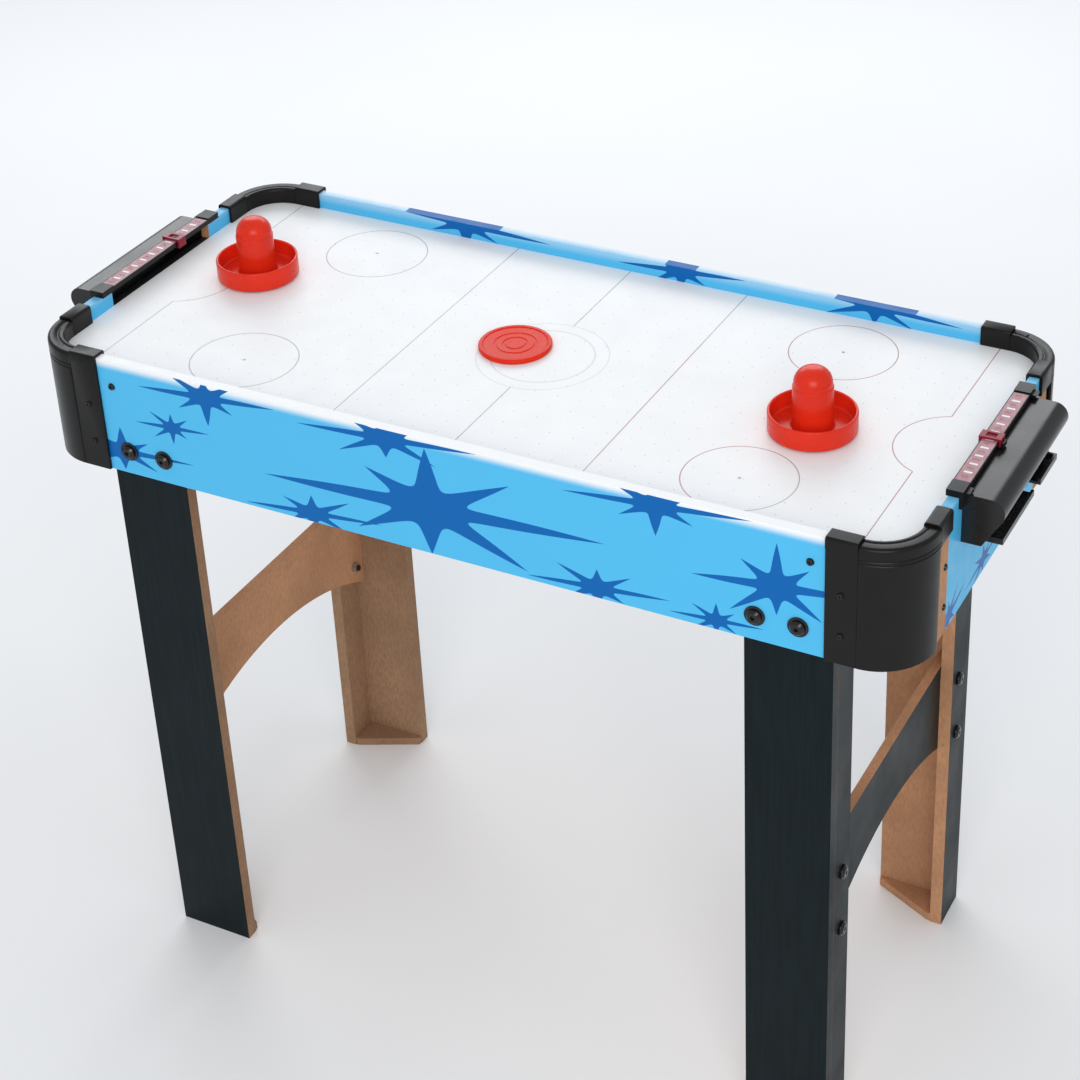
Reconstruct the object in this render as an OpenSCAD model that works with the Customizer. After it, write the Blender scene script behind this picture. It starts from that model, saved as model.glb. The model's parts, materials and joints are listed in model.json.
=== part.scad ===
// Table-top size air hockey game on four board legs.
// Origin: floor level, midway between the legs. X runs along the table, +Y to the back, +Z up.

/* [Table] */
// Length between the outer faces of the two end panels
table_l = 832; // [800:4:880]
// Width between the outer faces of the two long panels
table_w = 367; // [350:1:390]
// Height of the panel tops above the floor
table_h = 653; // [600:1:700]
// Height of the four printed panels
panel_h = 113; // [108:1:125]
// Depth of the playing surface below the panel tops
rail_h = 15; // [14:1:18]

/* [Boards] */
// Thickness of the four printed panels
panel_t = 9; // [9:0.5:10]
// Thickness of the leg boards
leg_t = 12; // [10:1:12]
// Thickness of the end braces
brace_t = 9; // [6:1:9]
// Thickness of the playfield board and of the air chamber's floor
field_t = 3; // [3:0.5:4]
// Height of the air chamber under the playfield
chamber_h = 15; // [12:1:16]
// Width of the battens round the air chamber
batten_w = 12; // [10:1:14]

/* [Corner mouldings] */
// Outer radius of the rounded corner
corner_r = 49; // [46:1:52]
// Wall thickness of the moulding where it clips over a panel
leaf_t = 3; // [2.5:0.5:3]
// Length of the clips along the panels
clip_l = 27; // [24:1:30]
// Drop of the rounded rail below the clip tops
rail_step = 2.5; // [1:0.5:2.5]

/* [Goal ends] */
// Width of the goal opening in the end panel
goal_w = 152; // [140:2:156]
// Length of the score bar with its end posts
bar_l = 182; // [178:1:186]
// Width of the goal box
box_w = 164; // [160:1:164]
// Distance that the goal box stands out from the end panel
box_d = 35; // [30:1:38]
// Place of the right score marker along the bar, from the middle
right_marker_y = -2; // [-60:1:60]
// Place of the left score marker along the bar, from the middle
left_marker_y = 29; // [-60:1:60]

/* [Legs] */
// Width of the board behind the long panel
leg_w = 77; // [70:1:84]
// Width of the leg's side board, behind the wide board
leg_side_w = 33; // [28:1:36]
// Distance between the outer faces of the left and right legs
leg_span = 694; // [680:2:700]
// Height of the brace's straight top edge
brace_top = 315; // [280:5:360]
// Height of the highest point of the brace's arch
arch_top = 245; // [230:5:250]

/* [Playing pieces] */
// Radius of the puck
puck_r = 33; // [30:0.5:35]
// Thickness of the puck
puck_h = 4.5; // [3.5:0.5:6]
// Radius of the striker's base
striker_r = 38; // [35:0.5:40]
// Height of the striker with its felt
striker_h = 60; // [56:1:64]
// Radius of the striker's knob
knob_r = 16.5; // [14:0.5:18]

/* [Hidden] */

$fn = 64;
left = -1;
right = 1;
front = -1;
back = 1;
gap = 0.3; // running clearance of the parts that slide or turn
eps = 1; // how far a cutter runs past the face it cuts

black = [0.09, 0.09, 0.1];
print_blue = [0.36, 0.75, 0.94];
raw_board = [0.66, 0.47, 0.33];
field_white = [0.95, 0.97, 0.98];
toy_red = [0.85, 0.12, 0.08];
screw_steel = [0.62, 0.63, 0.65];

// heights
panel_z = table_h - panel_h;
field_z = table_h - rail_h;
chamber_z = field_z - field_t - chamber_h;
floor_z = chamber_z - field_t;
cap_z = table_h + leaf_t;
// plan
end_x = table_l / 2;
end_in = end_x - panel_t;
side_y = table_w / 2;
side_in = side_y - panel_t;
corner_x = end_x + leaf_t - corner_r;
corner_y = side_y + leaf_t - corner_r;
clip_x = corner_x - clip_l;
clip_y = corner_y - clip_l;
panel_end_gap = 3; // the panels stop this far short of the rounded part
chamber_x = 386;

// screws and bolts
screw_r = 1.5;
screw_head_r = 3;
screw_l = 10;
moulding_screw_z = [table_h - 48, table_h - 86];
clip_screw_x = corner_x - clip_l / 2;
end_screw_y = clip_y + 7;
panel_screw_x = 330;
panel_screw_r = 1.75;
panel_screw_z = floor_z + field_t + chamber_h / 2;
bolt_r = 3;
bolt_head_r = 6.5;
bolt_head_h = 3.5;
washer_r = 9;
washer_t = 1.5;
nut_r = 5.5;
nut_h = 5;
panel_bolt_x = [283.5, 320.5];
panel_bolt_z = panel_z + 23.5;
brace_bolt_z = [230, 293];
brace_bolt_head_h = 4;

// legs
leg_x = leg_span / 2;
leg_h = table_h - 53;
leg_back_y = side_in - leg_t;
leg_side_y = leg_back_y - leg_side_w;
leg_side_in = leg_x - leg_t;
brace_bolt_y = leg_side_y + leg_side_w / 2;
arch_r = 320;
foot_t = 9;

// goal ends
bar_t = 4.7;
bar_z = table_h + gap;
bar_in = end_in - 2;
bar_out = end_in + 12.5;
post_w = 16;
post_leg_w = 8;
post_leg_h = 10;
post_top = table_h + 6;
strip_w = 13;
strip_l = 146;
strip_t = 0.8;
marker_w = 11;
box_wall = 2.5;
box_top = table_h - 1;
box_bottom = panel_z + 67;
box_round = 12;
box_foot = 17;
boss_r = 4;
boss_l = 9;
tray_w = 140;
tray_z = box_bottom - box_wall;
tray_d = 31;
slot_from = 11; // the slot is cut from here outwards, measured from the end panel
lip_z = tray_z + 5.5;
slot_h = 9;
finger_notch_y = [9, 26];
box_screw_at = [[76, box_bottom + 6], [76, box_bottom + 22]];

// fan
fan_r = 48;
fan_wall = 2;
fan_z = floor_z - 32;
fan_flange_r = 57;
fan_screw_r = fan_r + 4.5;
flange_t = 2.5;
fan_hole_r = 32;
intake_r = 30;
grille_hub_r = 15;
motor_r = 13.8;
motor_h = 18;
shaft_r = 1.15;
impeller_r = 42;
impeller_top = floor_z - 3;
blade_count = 12;

// battery box and switch
bat_x = 150;
bat_l = 114;
bat_w = 54;
bat_h = 20;
bat_wall = 2;
cell_r = 7.1;
cell_l = 49;
cell_pitch = 16;
cover_t = 2;
bat_ear = 9;
bat_ear_w = 44;
bat_screw_at = [bat_l / 2 + 5, 16];
cell_z = floor_z - bat_h / 2 - 0.5;
switch_x = 200;
switch_z = table_h - 61;
rocker_r = 8.2;
rocker_w = 9;
rocker_tilt = 8;
bezel_t = 2;
switch_depth = 18;
wire_r = 0.9;

// playing pieces
puck_at = [-30, 5];
left_striker_at = [-318, 29];
right_striker_at = [264, -20];
felt_t = 1;
striker_rim_h = 20;
striker_wall = 2.5;

module pipe_hole(r, h, at) translate(at) cylinder(r = r, h = h);

// a cylinder that starts at a point and runs along +X or +Y
module rod_x(at, r, l) translate(at) rotate([0, 90, 0]) cylinder(r = r, h = l);
module rod_y(at, r, l) translate(at) rotate([-90, 0, 0]) cylinder(r = r, h = l);

// geometry drawn for the right or the front, placed at either end or side
module at_end(end) mirror([end == left ? 1 : 0, 0, 0]) children();
module at_side(side) mirror([0, side == back ? 1 : 0, 0]) children();
module at_corner(end, side) at_end(end) at_side(side) children();
// the two goal ends are the same parts, turned half a turn
module goal_end(end) rotate([0, 0, end == left ? 180 : 0]) children();

// ---- printed panels ----
module long_panel() {
    panel_l = 2 * (corner_x - panel_end_gap);
    difference() {
        translate([-panel_l / 2, -side_y, panel_z]) cube([panel_l, panel_t, panel_h]);
        for (end = [left, right]) {
            for (x = panel_bolt_x)
                rod_y([end * x, -side_y - eps, panel_bolt_z], bolt_r + 0.2, panel_t + 2 * eps);
            for (z = moulding_screw_z)
                rod_y([end * clip_screw_x, -side_y - eps, z], screw_r + 0.1, 8 + eps);
            rod_y([end * panel_screw_x, -side_y - eps, panel_screw_z], panel_screw_r + 0.1,
                panel_t + 2 * eps);
        }
    }
}

module front_panel() color(print_blue) long_panel();

module back_panel() color(print_blue)
    difference() {
        at_side(back) long_panel();
        translate([switch_x - 6.5, side_in - eps, switch_z - 10]) cube([13, panel_t + 2 * eps, 20]);
    }

module end_panel() {
    panel_w = 2 * (corner_y - panel_end_gap);
    difference() {
        translate([end_in, -panel_w / 2, panel_z]) cube([panel_t, panel_w, panel_h]);
        translate([end_in - eps, -goal_w / 2, field_z - 1])
            cube([panel_t + 2 * eps, goal_w, rail_h + 1 + eps]);
        for (side = [front, back]) {
            for (z = moulding_screw_z)
                rod_x([end_in - eps, side * end_screw_y, z], screw_r + 0.1, panel_t + 2 * eps);
            for (at = box_screw_at)
                rod_x([end_in - eps, side * at[0], at[1]], screw_r + 0.1, panel_t + 2 * eps);
        }
    }
}

module left_end_panel() color(print_blue) goal_end(left) end_panel();
module right_end_panel() color(print_blue) goal_end(right) end_panel();

// ---- playfield and air chamber ----
// The board's corners are rounded to sit inside the corner mouldings.
module playfield() color(field_white) {
    field_r = corner_r - leaf_t - 8;
    translate([0, 0, field_z - field_t]) linear_extrude(field_t) {
        square([2 * (end_in - field_r), 2 * side_in], center = true);
        square([2 * end_in, 2 * (side_in - field_r)], center = true);
        for (x = [-1, 1], y = [-1, 1])
            translate([x * (end_in - field_r), y * (side_in - field_r)]) circle(field_r);
    }
}

module long_battens() color(raw_board)
    for (side = [front, back]) at_side(side)
        difference() {
            translate([-chamber_x, -side_in, chamber_z]) cube([2 * chamber_x, batten_w, chamber_h]);
            for (end = [left, right])
                rod_y([end * panel_screw_x, -side_in - eps, panel_screw_z], panel_screw_r + 0.1, 9 + eps);
        }

module end_battens() color(raw_board)
    for (end = [left, right]) at_end(end)
        translate([chamber_x - batten_w, batten_w - side_in, chamber_z])
            cube([batten_w, 2 * (side_in - batten_w), chamber_h]);

module chamber_floor() color(raw_board)
    difference() {
        translate([-chamber_x, -side_in, floor_z]) cube([2 * chamber_x, 2 * side_in, field_t]);
        pipe_hole(fan_hole_r, field_t + 2 * eps, [0, 0, floor_z - eps]);
        for (at = floor_screw_at())
            pipe_hole(screw_r + 0.1, field_t + 2 * eps, [at[0], at[1], floor_z - eps]);
    }

// ---- corner mouldings, drawn for the front right ----
module corner_moulding(end, side) color(black) at_corner(end, side)
    difference() {
        union() {
            translate([corner_x, -corner_y, 0])
                rotate([0, 0, -90]) rotate_extrude(angle = 90) rail_section();
            long_clip();
            end_clip();
        }
        for (z = moulding_screw_z)
            rod_y([clip_screw_x, -side_y - leaf_t - 2, z], screw_r + 0.2, leaf_t + 3);
    }

// Cross-section of the rounded rail: outer skin down to the panel's lower edge, round-shouldered
// top and a short inner wall that stands on the playfield.
module rail_section() {
    inner_r = corner_r - panel_t - 2 * leaf_t;
    top = cap_z - rail_step;
    shoulder = 3;
    skin = 2.5;
    difference() {
        union() {
            translate([corner_r - skin, panel_z]) square([skin, top - shoulder - panel_z]);
            translate([inner_r, field_z]) square([skin, top - shoulder - field_z]);
            translate([inner_r, top - shoulder - skin]) square([corner_r - inner_r, skin]);
            translate([inner_r + shoulder, top - shoulder])
                square([corner_r - inner_r - 2 * shoulder, shoulder]);
            translate([inner_r + shoulder, top - shoulder]) circle(shoulder);
            translate([corner_r - shoulder, top - shoulder]) circle(shoulder);
        }
        translate([corner_r + 0.4, top - 22]) circle(1.1);
        translate([inner_r + 5.5, top + 0.5]) circle(1.1);
    }
}

// Clip over the long panel: full-height outer leaf, thicker band along its top, short inner leaf.
module long_clip() {
    band_h = 11;
    band_t = 0.8;
    translate([clip_x, -side_y - leaf_t, panel_z]) cube([clip_l, leaf_t, cap_z - panel_z]);
    translate([clip_x, -side_y - leaf_t - band_t, cap_z - band_h]) cube([clip_l, band_t + leaf_t, band_h]);
    translate([clip_x, -side_y - leaf_t, table_h]) cube([clip_l, panel_t + 2 * leaf_t, leaf_t]);
    translate([clip_x, -side_in, field_z]) cube([clip_l, leaf_t, rail_h + leaf_t]);
}

// Clip over the end panel: the outer leaf is only a short lip, so the panel's margin shows below it.
module end_clip() {
    lip_h = 20;
    translate([end_x, -corner_y, cap_z - lip_h]) cube([leaf_t, clip_l, lip_h]);
    translate([end_in - leaf_t, -corner_y, table_h]) cube([panel_t + 2 * leaf_t, clip_l, leaf_t]);
    translate([end_in - leaf_t, -corner_y, field_z]) cube([leaf_t, clip_l, rail_h + leaf_t]);
}

module front_left_corner() corner_moulding(left, front);
module front_right_corner() corner_moulding(right, front);
module back_left_corner() corner_moulding(left, back);
module back_right_corner() corner_moulding(right, back);

// ---- goal boxes ----
// Side profile in X (out from the panel) and Z: flat top, rounded shoulder, face sloping in to the foot.
module box_profile(inset) {
    r = box_round - inset;
    centre = [box_d - box_round, box_top - box_round];
    foot = [box_foot - inset, box_bottom];
    reach = norm(centre - foot);
    slope = atan2(centre[1] - foot[1], centre[0] - foot[0]) - asin(r / reach);
    run = sqrt(reach * reach - r * r);
    touch = foot + run * [cos(slope), sin(slope)];
    translate(centre) circle(r);
    polygon([[0, box_bottom], foot, touch, centre, centre + [0, r], [0, box_top - inset]]);
}

module goal_box(end) color(black) goal_end(end) {
    difference() {
        union() {
            difference() {
                box_slab(0, -box_w / 2, box_w);
                box_slab(box_wall, -box_w / 2 + box_wall, box_w - 2 * box_wall);
                translate([end_x + slot_from, box_wall - tray_w / 2, box_bottom - eps])
                    cube([box_d, tray_w - 2 * box_wall, slot_h + eps]);
            }
            for (side = [front, back]) at_side(side) {
                translate([end_x, -box_w / 2, box_bottom])
                    cube([box_foot, (box_w - tray_w) / 2, box_wall]);
                for (at = box_screw_at) rod_x([end_x, -at[0], at[1]], boss_r, boss_l);
            }
            goal_tray();
        }
        for (side = [front, back], at = box_screw_at)
            rod_x([end_x - eps, side * at[0], at[1]], screw_r + 0.1, boss_l - 2 + eps);
    }
}

module box_slab(inset, from_y, width)
    translate([end_x, from_y + width, 0]) rotate([90, 0, 0]) linear_extrude(width) box_profile(inset);

// Puck tray: the hood's floor, which runs out below the slot in its face to a lip with a finger notch.
module goal_tray() {
    drop = box_bottom - tray_z + box_wall;
    difference() {
        union() {
            translate([end_x, -tray_w / 2, tray_z]) cube([tray_d, tray_w, box_wall]);
            translate([end_x + tray_d - box_wall, -tray_w / 2, tray_z])
                cube([box_wall, tray_w, lip_z - tray_z]);
            for (side = [front, back]) at_side(side) {
                translate([end_x, -tray_w / 2, tray_z]) cube([box_foot, box_wall, drop]);
                translate([end_x, -tray_w / 2, tray_z]) cube([tray_d, box_wall, lip_z - tray_z]);
            }
        }
        translate([end_x + box_foot, finger_notch_y[0], tray_z - eps])
            cube([box_d, finger_notch_y[1] - finger_notch_y[0], lip_z]);
    }
}

module left_goal_box() goal_box(left);
module right_goal_box() goal_box(right);

// ---- score bars ----
module score_bar(end) color(black) goal_end(end)
    difference() {
        union() {
            translate([bar_in, -bar_l / 2, bar_z]) cube([bar_out - bar_in, bar_l, bar_t]);
            for (side = [front, back]) at_side(side) {
                translate([bar_in, -bar_l / 2, table_h])
                    cube([bar_out - bar_in, post_w, post_top - table_h]);
                translate([end_x, -bar_l / 2, table_h - post_leg_h])
                    cube([leaf_t, post_leg_w, post_leg_h + bar_t]);
                translate([bar_out, -bar_l / 2 + 4, bar_z]) cube([4, post_w - 6, 3]);
            }
        }
        translate([(bar_in + bar_out - strip_w) / 2, -strip_l / 2, bar_z + bar_t - strip_t])
            cube([strip_w, strip_l, strip_t + eps]);
    }

module number_strip(end) color("pink") goal_end(end)
    translate([(bar_in + bar_out - strip_w) / 2, -strip_l / 2, bar_z + bar_t - strip_t])
        cube([strip_w, strip_l, strip_t]);

// Marker: slides along the bar, hooked under its inner edge, with a window over the numbers.
module score_marker(end, y) color(toy_red) goal_end(end) translate([0, y, 0]) marker_body();

module marker_body() {
    jaw_t = 2;
    jaw_in = bar_in - gap - jaw_t;
    hook_z = bar_z - gap - 1.8;
    under_z = bar_z + bar_t + gap;
    window_w = 9;
    difference() {
        union() {
            translate([jaw_in, -marker_w / 2, under_z])
                cube([bar_out - bar_in + 2 * (gap + jaw_t), marker_w, jaw_t]);
            translate([jaw_in, -marker_w / 2, hook_z]) cube([jaw_t, marker_w, under_z - hook_z + eps]);
            translate([jaw_in, -marker_w / 2, hook_z]) cube([jaw_t + 1.2, marker_w, 1.5]);
            translate([bar_out + gap, -marker_w / 2, bar_z]) cube([jaw_t, marker_w, under_z - bar_z + eps]);
        }
        translate([(bar_in + bar_out - window_w) / 2, -marker_w / 2 + 2.5, under_z - eps])
            cube([window_w, marker_w - 5, jaw_t + 2 * eps]);
    }
}

module marker_clip(end, y) color(black) goal_end(end)
    translate([bar_out + gap + 2, y - marker_w / 2, bar_z]) cube([2.5, 8, 4]);

module left_score_bar() score_bar(left);
module right_score_bar() score_bar(right);
module left_number_strip() number_strip(left);
module right_number_strip() number_strip(right);
module left_marker() score_marker(left, -left_marker_y);
module right_marker() score_marker(right, right_marker_y);
module left_marker_clip() marker_clip(left, -left_marker_y);
module right_marker_clip() marker_clip(right, right_marker_y);

// ---- legs, drawn for the front right ----
module leg_board(end, side) color(black) at_corner(end, side)
    difference() {
        translate([leg_x - leg_w, -side_in, 0]) cube([leg_w, leg_t, leg_h]);
        for (x = panel_bolt_x) rod_y([x, -side_in - eps, panel_bolt_z], bolt_r + 0.2, leg_t + 2 * eps);
    }

module leg_side_board(end, side) color(black) at_corner(end, side)
    difference() {
        translate([leg_side_in, -leg_back_y, 0]) cube([leg_t, leg_side_w, leg_h]);
        for (z = brace_bolt_z) rod_x([leg_side_in - eps, -brace_bolt_y, z], bolt_r + 0.2, leg_t + 2 * eps);
    }

// Three-cornered foot plate that closes the bottom of the leg's corner.
module foot_plate(end, side) color(raw_board) at_corner(end, side)
    linear_extrude(foot_t)
        polygon([[leg_side_in, -leg_back_y], [leg_side_in, -leg_side_y - 1],
            [leg_side_in - 4, -leg_side_y - 1], [leg_x - leg_w + 1, 4 - leg_back_y],
            [leg_x - leg_w + 1, -leg_back_y]]);

module front_left_leg() leg_board(left, front);
module front_right_leg() leg_board(right, front);
module back_left_leg() leg_board(left, back);
module back_right_leg() leg_board(right, back);
module front_left_leg_side() leg_side_board(left, front);
module front_right_leg_side() leg_side_board(right, front);
module back_left_leg_side() leg_side_board(left, back);
module back_right_leg_side() leg_side_board(right, back);
module front_left_foot() foot_plate(left, front);
module front_right_foot() foot_plate(right, front);
module back_left_foot() foot_plate(left, back);
module back_right_foot() foot_plate(right, back);

// ---- end braces ----
module brace(end) color(black) at_end(end) {
    low = arch_top - arch_r + sqrt(arch_r * arch_r - leg_back_y * leg_back_y) - eps;
    difference() {
        translate([leg_side_in - brace_t, -leg_back_y, low])
            cube([brace_t, 2 * leg_back_y, brace_top - low]);
        rod_x([leg_side_in - brace_t - eps, 0, arch_top - arch_r], arch_r, brace_t + 2 * eps, $fn = 128);
        for (side = [front, back], z = brace_bolt_z)
            rod_x([leg_side_in - brace_t - eps, side * brace_bolt_y, z], bolt_r + 0.2, brace_t + 2 * eps);
    }
}

module left_brace() brace(left);
module right_brace() brace(right);

// ---- fasteners ----
// Domed bolt head standing on the plane Z = 0.
module bolt_head(r, h) {
    socket_r = 2;
    difference() {
        union() {
            cylinder(r = r, h = h - 2);
            translate([0, 0, h - 2]) cylinder(r1 = r, r2 = r - 2, h = 2);
        }
        translate([0, 0, h - 1.8]) cylinder(r = socket_r, h = 2, $fn = 6);
    }
}

module panel_bolts() color("black")
    for (end = [left, right], side = [front, back], x = panel_bolt_x) at_corner(end, side)
        translate([x, -side_y - washer_t, panel_bolt_z]) {
            rotate([90, 0, 0]) bolt_head(bolt_head_r, bolt_head_h);
            rod_y([0, 0, 0], bolt_r, 2 * washer_t + panel_t + leg_t + nut_h + 2);
        }

module panel_washers() color("black")
    for (end = [left, right], side = [front, back], x = panel_bolt_x) at_corner(end, side)
        for (y = [-side_y - washer_t, -leg_back_y])
            difference() {
                rod_y([x, y, panel_bolt_z], washer_r, washer_t);
                rod_y([x, y - eps, panel_bolt_z], bolt_r, washer_t + 2 * eps);
            }

module panel_nuts() color(screw_steel)
    for (end = [left, right], side = [front, back], x = panel_bolt_x) at_corner(end, side)
        difference() {
            rod_y([x, washer_t - leg_back_y, panel_bolt_z], nut_r, nut_h, $fn = 6);
            rod_y([x, washer_t - leg_back_y - eps, panel_bolt_z], bolt_r, nut_h + 2 * eps);
        }

module brace_bolts() color("black")
    for (end = [left, right], side = [front, back], z = brace_bolt_z) at_corner(end, side)
        translate([leg_x, -brace_bolt_y, z]) {
            rotate([0, 90, 0]) bolt_head(bolt_head_r, brace_bolt_head_h);
            rod_x([-leg_t - brace_t - nut_h - 2, 0, 0], bolt_r, leg_t + brace_t + nut_h + 2);
        }

module brace_nuts() color(screw_steel)
    for (end = [left, right], side = [front, back], z = brace_bolt_z) at_corner(end, side)
        difference() {
            rod_x([leg_side_in - brace_t - nut_h, -brace_bolt_y, z], nut_r, nut_h, $fn = 6);
            rod_x([leg_side_in - brace_t - nut_h - eps, -brace_bolt_y, z], bolt_r, nut_h + 2 * eps);
        }

// Pan-head screw on the plane Z = 0, its shank running to -Z.
module pan_screw(shank_r, shank_l, head_r) {
    difference() {
        cylinder(r1 = head_r, r2 = head_r - 0.8, h = 1.8);
        for (turn = [0, 90])
            rotate([0, 0, turn]) translate([0, 0, 1.6]) cube([head_r, 0.7, 1.2], center = true);
    }
    translate([0, 0, -shank_l]) cylinder(r = shank_r, h = shank_l);
}

module moulding_screws() color(screw_steel)
    for (end = [left, right], side = [front, back]) at_corner(end, side) {
        for (z = moulding_screw_z) {
            translate([clip_screw_x, -side_y - leaf_t, z])
                rotate([90, 0, 0]) pan_screw(screw_r, screw_l, screw_head_r);
            translate([end_x, -end_screw_y, z])
                rotate([0, 90, 0]) pan_screw(screw_r, panel_t, screw_head_r);
        }
        for (at = box_screw_at)
            translate([end_in, -at[0], at[1]])
                rotate([0, -90, 0]) pan_screw(screw_r, panel_t + 6, screw_head_r);
    }

module panel_screws() color(screw_steel)
    for (end = [left, right], side = [front, back]) at_corner(end, side)
        translate([panel_screw_x, -side_y, panel_screw_z])
            rotate([90, 0, 0]) pan_screw(panel_screw_r, panel_t + 8, 3.5);

// Places of the screws that hold the fan housing and the battery box up to the chamber floor.
function floor_screw_at() = concat(
    [for (turn = [45:90:315]) fan_screw_r * [cos(turn), sin(turn)]],
    [for (x = [-1, 1], y = [-1, 1]) [bat_x + x * bat_screw_at[0], y * bat_screw_at[1]]]);

module floor_screws() color(screw_steel)
    for (at = floor_screw_at())
        translate([at[0], at[1], floor_z - flange_t])
            rotate([180, 0, 0]) pan_screw(screw_r, flange_t + field_t, screw_head_r);

// ---- fan ----
module fan_housing() color(black)
    difference() {
        union() {
            translate([0, 0, fan_z]) cylinder(r = fan_r, h = floor_z - fan_z);
            translate([0, 0, floor_z - flange_t]) cylinder(r = fan_flange_r, h = flange_t);
        }
        pipe_hole(fan_r - fan_wall, floor_z - fan_z, [0, 0, fan_z + fan_wall]);
        pipe_hole(intake_r, 2 * fan_wall, [0, 0, fan_z - eps]);
        for (turn = [45:90:315]) rotate([0, 0, turn])
            pipe_hole(screw_r + 0.1, 5, [fan_screw_r, 0, floor_z - flange_t - eps]);
    }

module intake_grille() color(black)
    translate([0, 0, fan_z - 2]) {
        difference() {
            cylinder(r = intake_r + 5, h = 2);
            pipe_hole(intake_r - 1.5, 4, [0, 0, -eps]);
        }
        cylinder(r = grille_hub_r, h = 4);
        for (turn = [0:45:315]) rotate([0, 0, turn]) translate([grille_hub_r - 1, -1.25, 0])
            cube([intake_r - grille_hub_r, 2.5, 2]);
        difference() {
            cylinder(r = 23, h = 2);
            pipe_hole(21, 4, [0, 0, -eps]);
        }
    }

module fan_motor() color(screw_steel)
    difference() {
        union() {
            translate([0, 0, fan_z + 2]) cylinder(r = motor_r, h = motor_h);
            translate([0, 0, fan_z + 2]) cylinder(r = 4, h = motor_h + 2);
        }
        pipe_hole(shaft_r + 0.05, motor_h + 2, [0, 0, fan_z + 4]);
    }

// Centrifugal wheel: disc with a hub, blades hanging round the motor, and its shaft.
module impeller() color("white") {
    blade_low = fan_z + 6;
    disc_z = impeller_top - 2;
    translate([0, 0, disc_z]) cylinder(r = impeller_r, h = 2);
    translate([0, 0, disc_z - 3.5]) cylinder(r = 4, h = 5);
    translate([0, 0, fan_z + 5]) cylinder(r = shaft_r, h = disc_z - fan_z - 4);
    for (n = [0:blade_count - 1]) rotate([0, 0, n * 360 / blade_count])
        translate([24, 0, blade_low]) rotate([0, 0, 35]) cube([16, 1.5, disc_z - blade_low + eps]);
}

// ---- battery box ----
module battery_box() color(black)
    translate([bat_x, 0, floor_z]) {
        difference() {
            union() {
                translate([-bat_l / 2, -bat_w / 2, -bat_h]) cube([bat_l, bat_w, bat_h]);
                translate([-bat_l / 2 - bat_ear, -bat_ear_w / 2, -flange_t])
                    cube([bat_l + 2 * bat_ear, bat_ear_w, flange_t]);
                for (side = [front, back]) at_side(side) cover_rail();
            }
            translate([bat_wall - bat_l / 2, bat_wall - bat_w / 2, -bat_h - eps])
                cube([bat_l - 2 * bat_wall, bat_w - 2 * bat_wall, bat_h - 2 + eps]);
            for (x = [-1, 1], y = [-1, 1])
                pipe_hole(screw_r + 0.1, 5, [x * bat_screw_at[0], y * bat_screw_at[1], -flange_t - eps]);
        }
    }

// L-shaped rail that holds one long edge of the sliding cover.
module cover_rail() {
    rail_drop = cover_t + 2 * gap + 1.5;
    translate([-bat_l / 2, -bat_w / 2 - 2, -bat_h - rail_drop]) cube([bat_l, 2, rail_drop + 4]);
    translate([-bat_l / 2, -bat_w / 2 - 2, -bat_h - rail_drop]) cube([bat_l, 4, 1.5]);
}

module battery_cover() color(black)
    translate([bat_x, 0, floor_z - bat_h - gap - cover_t]) {
        translate([-bat_l / 2, gap - bat_w / 2, 0]) cube([bat_l, bat_w - 2 * gap, cover_t]);
        for (n = [0:4]) translate([bat_l / 2 - 14 + 2.5 * n, -10, -0.8]) cube([1.2, 20, 1]);
    }

module battery_cells() color("orange")
    for (row = [-1, 0, 1], half = [-1, 1])
        translate([bat_x + half * (cell_l / 2 + 1) - cell_l / 2, row * cell_pitch, cell_z]) {
            rod_x([0, 0, 0], cell_r, cell_l);
            rod_x([cell_l - eps, 0, 0], 2.6, 2);
        }

// Contact plates on the end walls, each with a short spring that reaches its cell.
module battery_contacts() color(screw_steel) {
    wall_in = bat_l / 2 - bat_wall;
    for (end = [-1, 1], row = [-1, 0, 1])
        translate([bat_x + end * (wall_in - 0.4) - 0.4, row * cell_pitch - 5, cell_z - 5.5])
            cube([0.8, 10, 11]);
    for (row = [-1, 0, 1]) {
        rod_x([bat_x - wall_in + 0.4, row * cell_pitch, cell_z], 2.2, wall_in - cell_l - 1.4);
        rod_x([bat_x + cell_l + 2, row * cell_pitch, cell_z], 2.2, wall_in - cell_l - 2.4);
    }
}

// ---- power switch in the back panel ----
module switch_body() color(black)
    difference() {
        union() {
            translate([switch_x - 7.5, side_y, switch_z - 12]) cube([15, bezel_t, 24]);
            translate([switch_x - 6.3, side_y - switch_depth, switch_z - 9.8])
                cube([12.6, switch_depth + eps, 19.6]);
        }
        translate([switch_x - rocker_w / 2 - gap, side_y - 11, switch_z - rocker_r - gap])
            cube([rocker_w + 2 * gap, 11 + bezel_t + eps, 2 * (rocker_r + gap)]);
    }

// Rocker: a barrel whose face is cut to a shallow V, turned about the barrel's axis.
module switch_rocker() color("black")
    translate([switch_x, side_y - 1, switch_z]) rotate([-rocker_tilt, 0, 0])
        difference() {
            rod_x([-rocker_w / 2, 0, 0], rocker_r, rocker_w);
            for (half = [-1, 1])
                rotate([-half * rocker_tilt, 0, 0])
                    translate([-rocker_w / 2 - eps, 4.5, half > 0 ? 0 : -20])
                        cube([rocker_w + 2 * eps, 10, 20]);
        }

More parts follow.
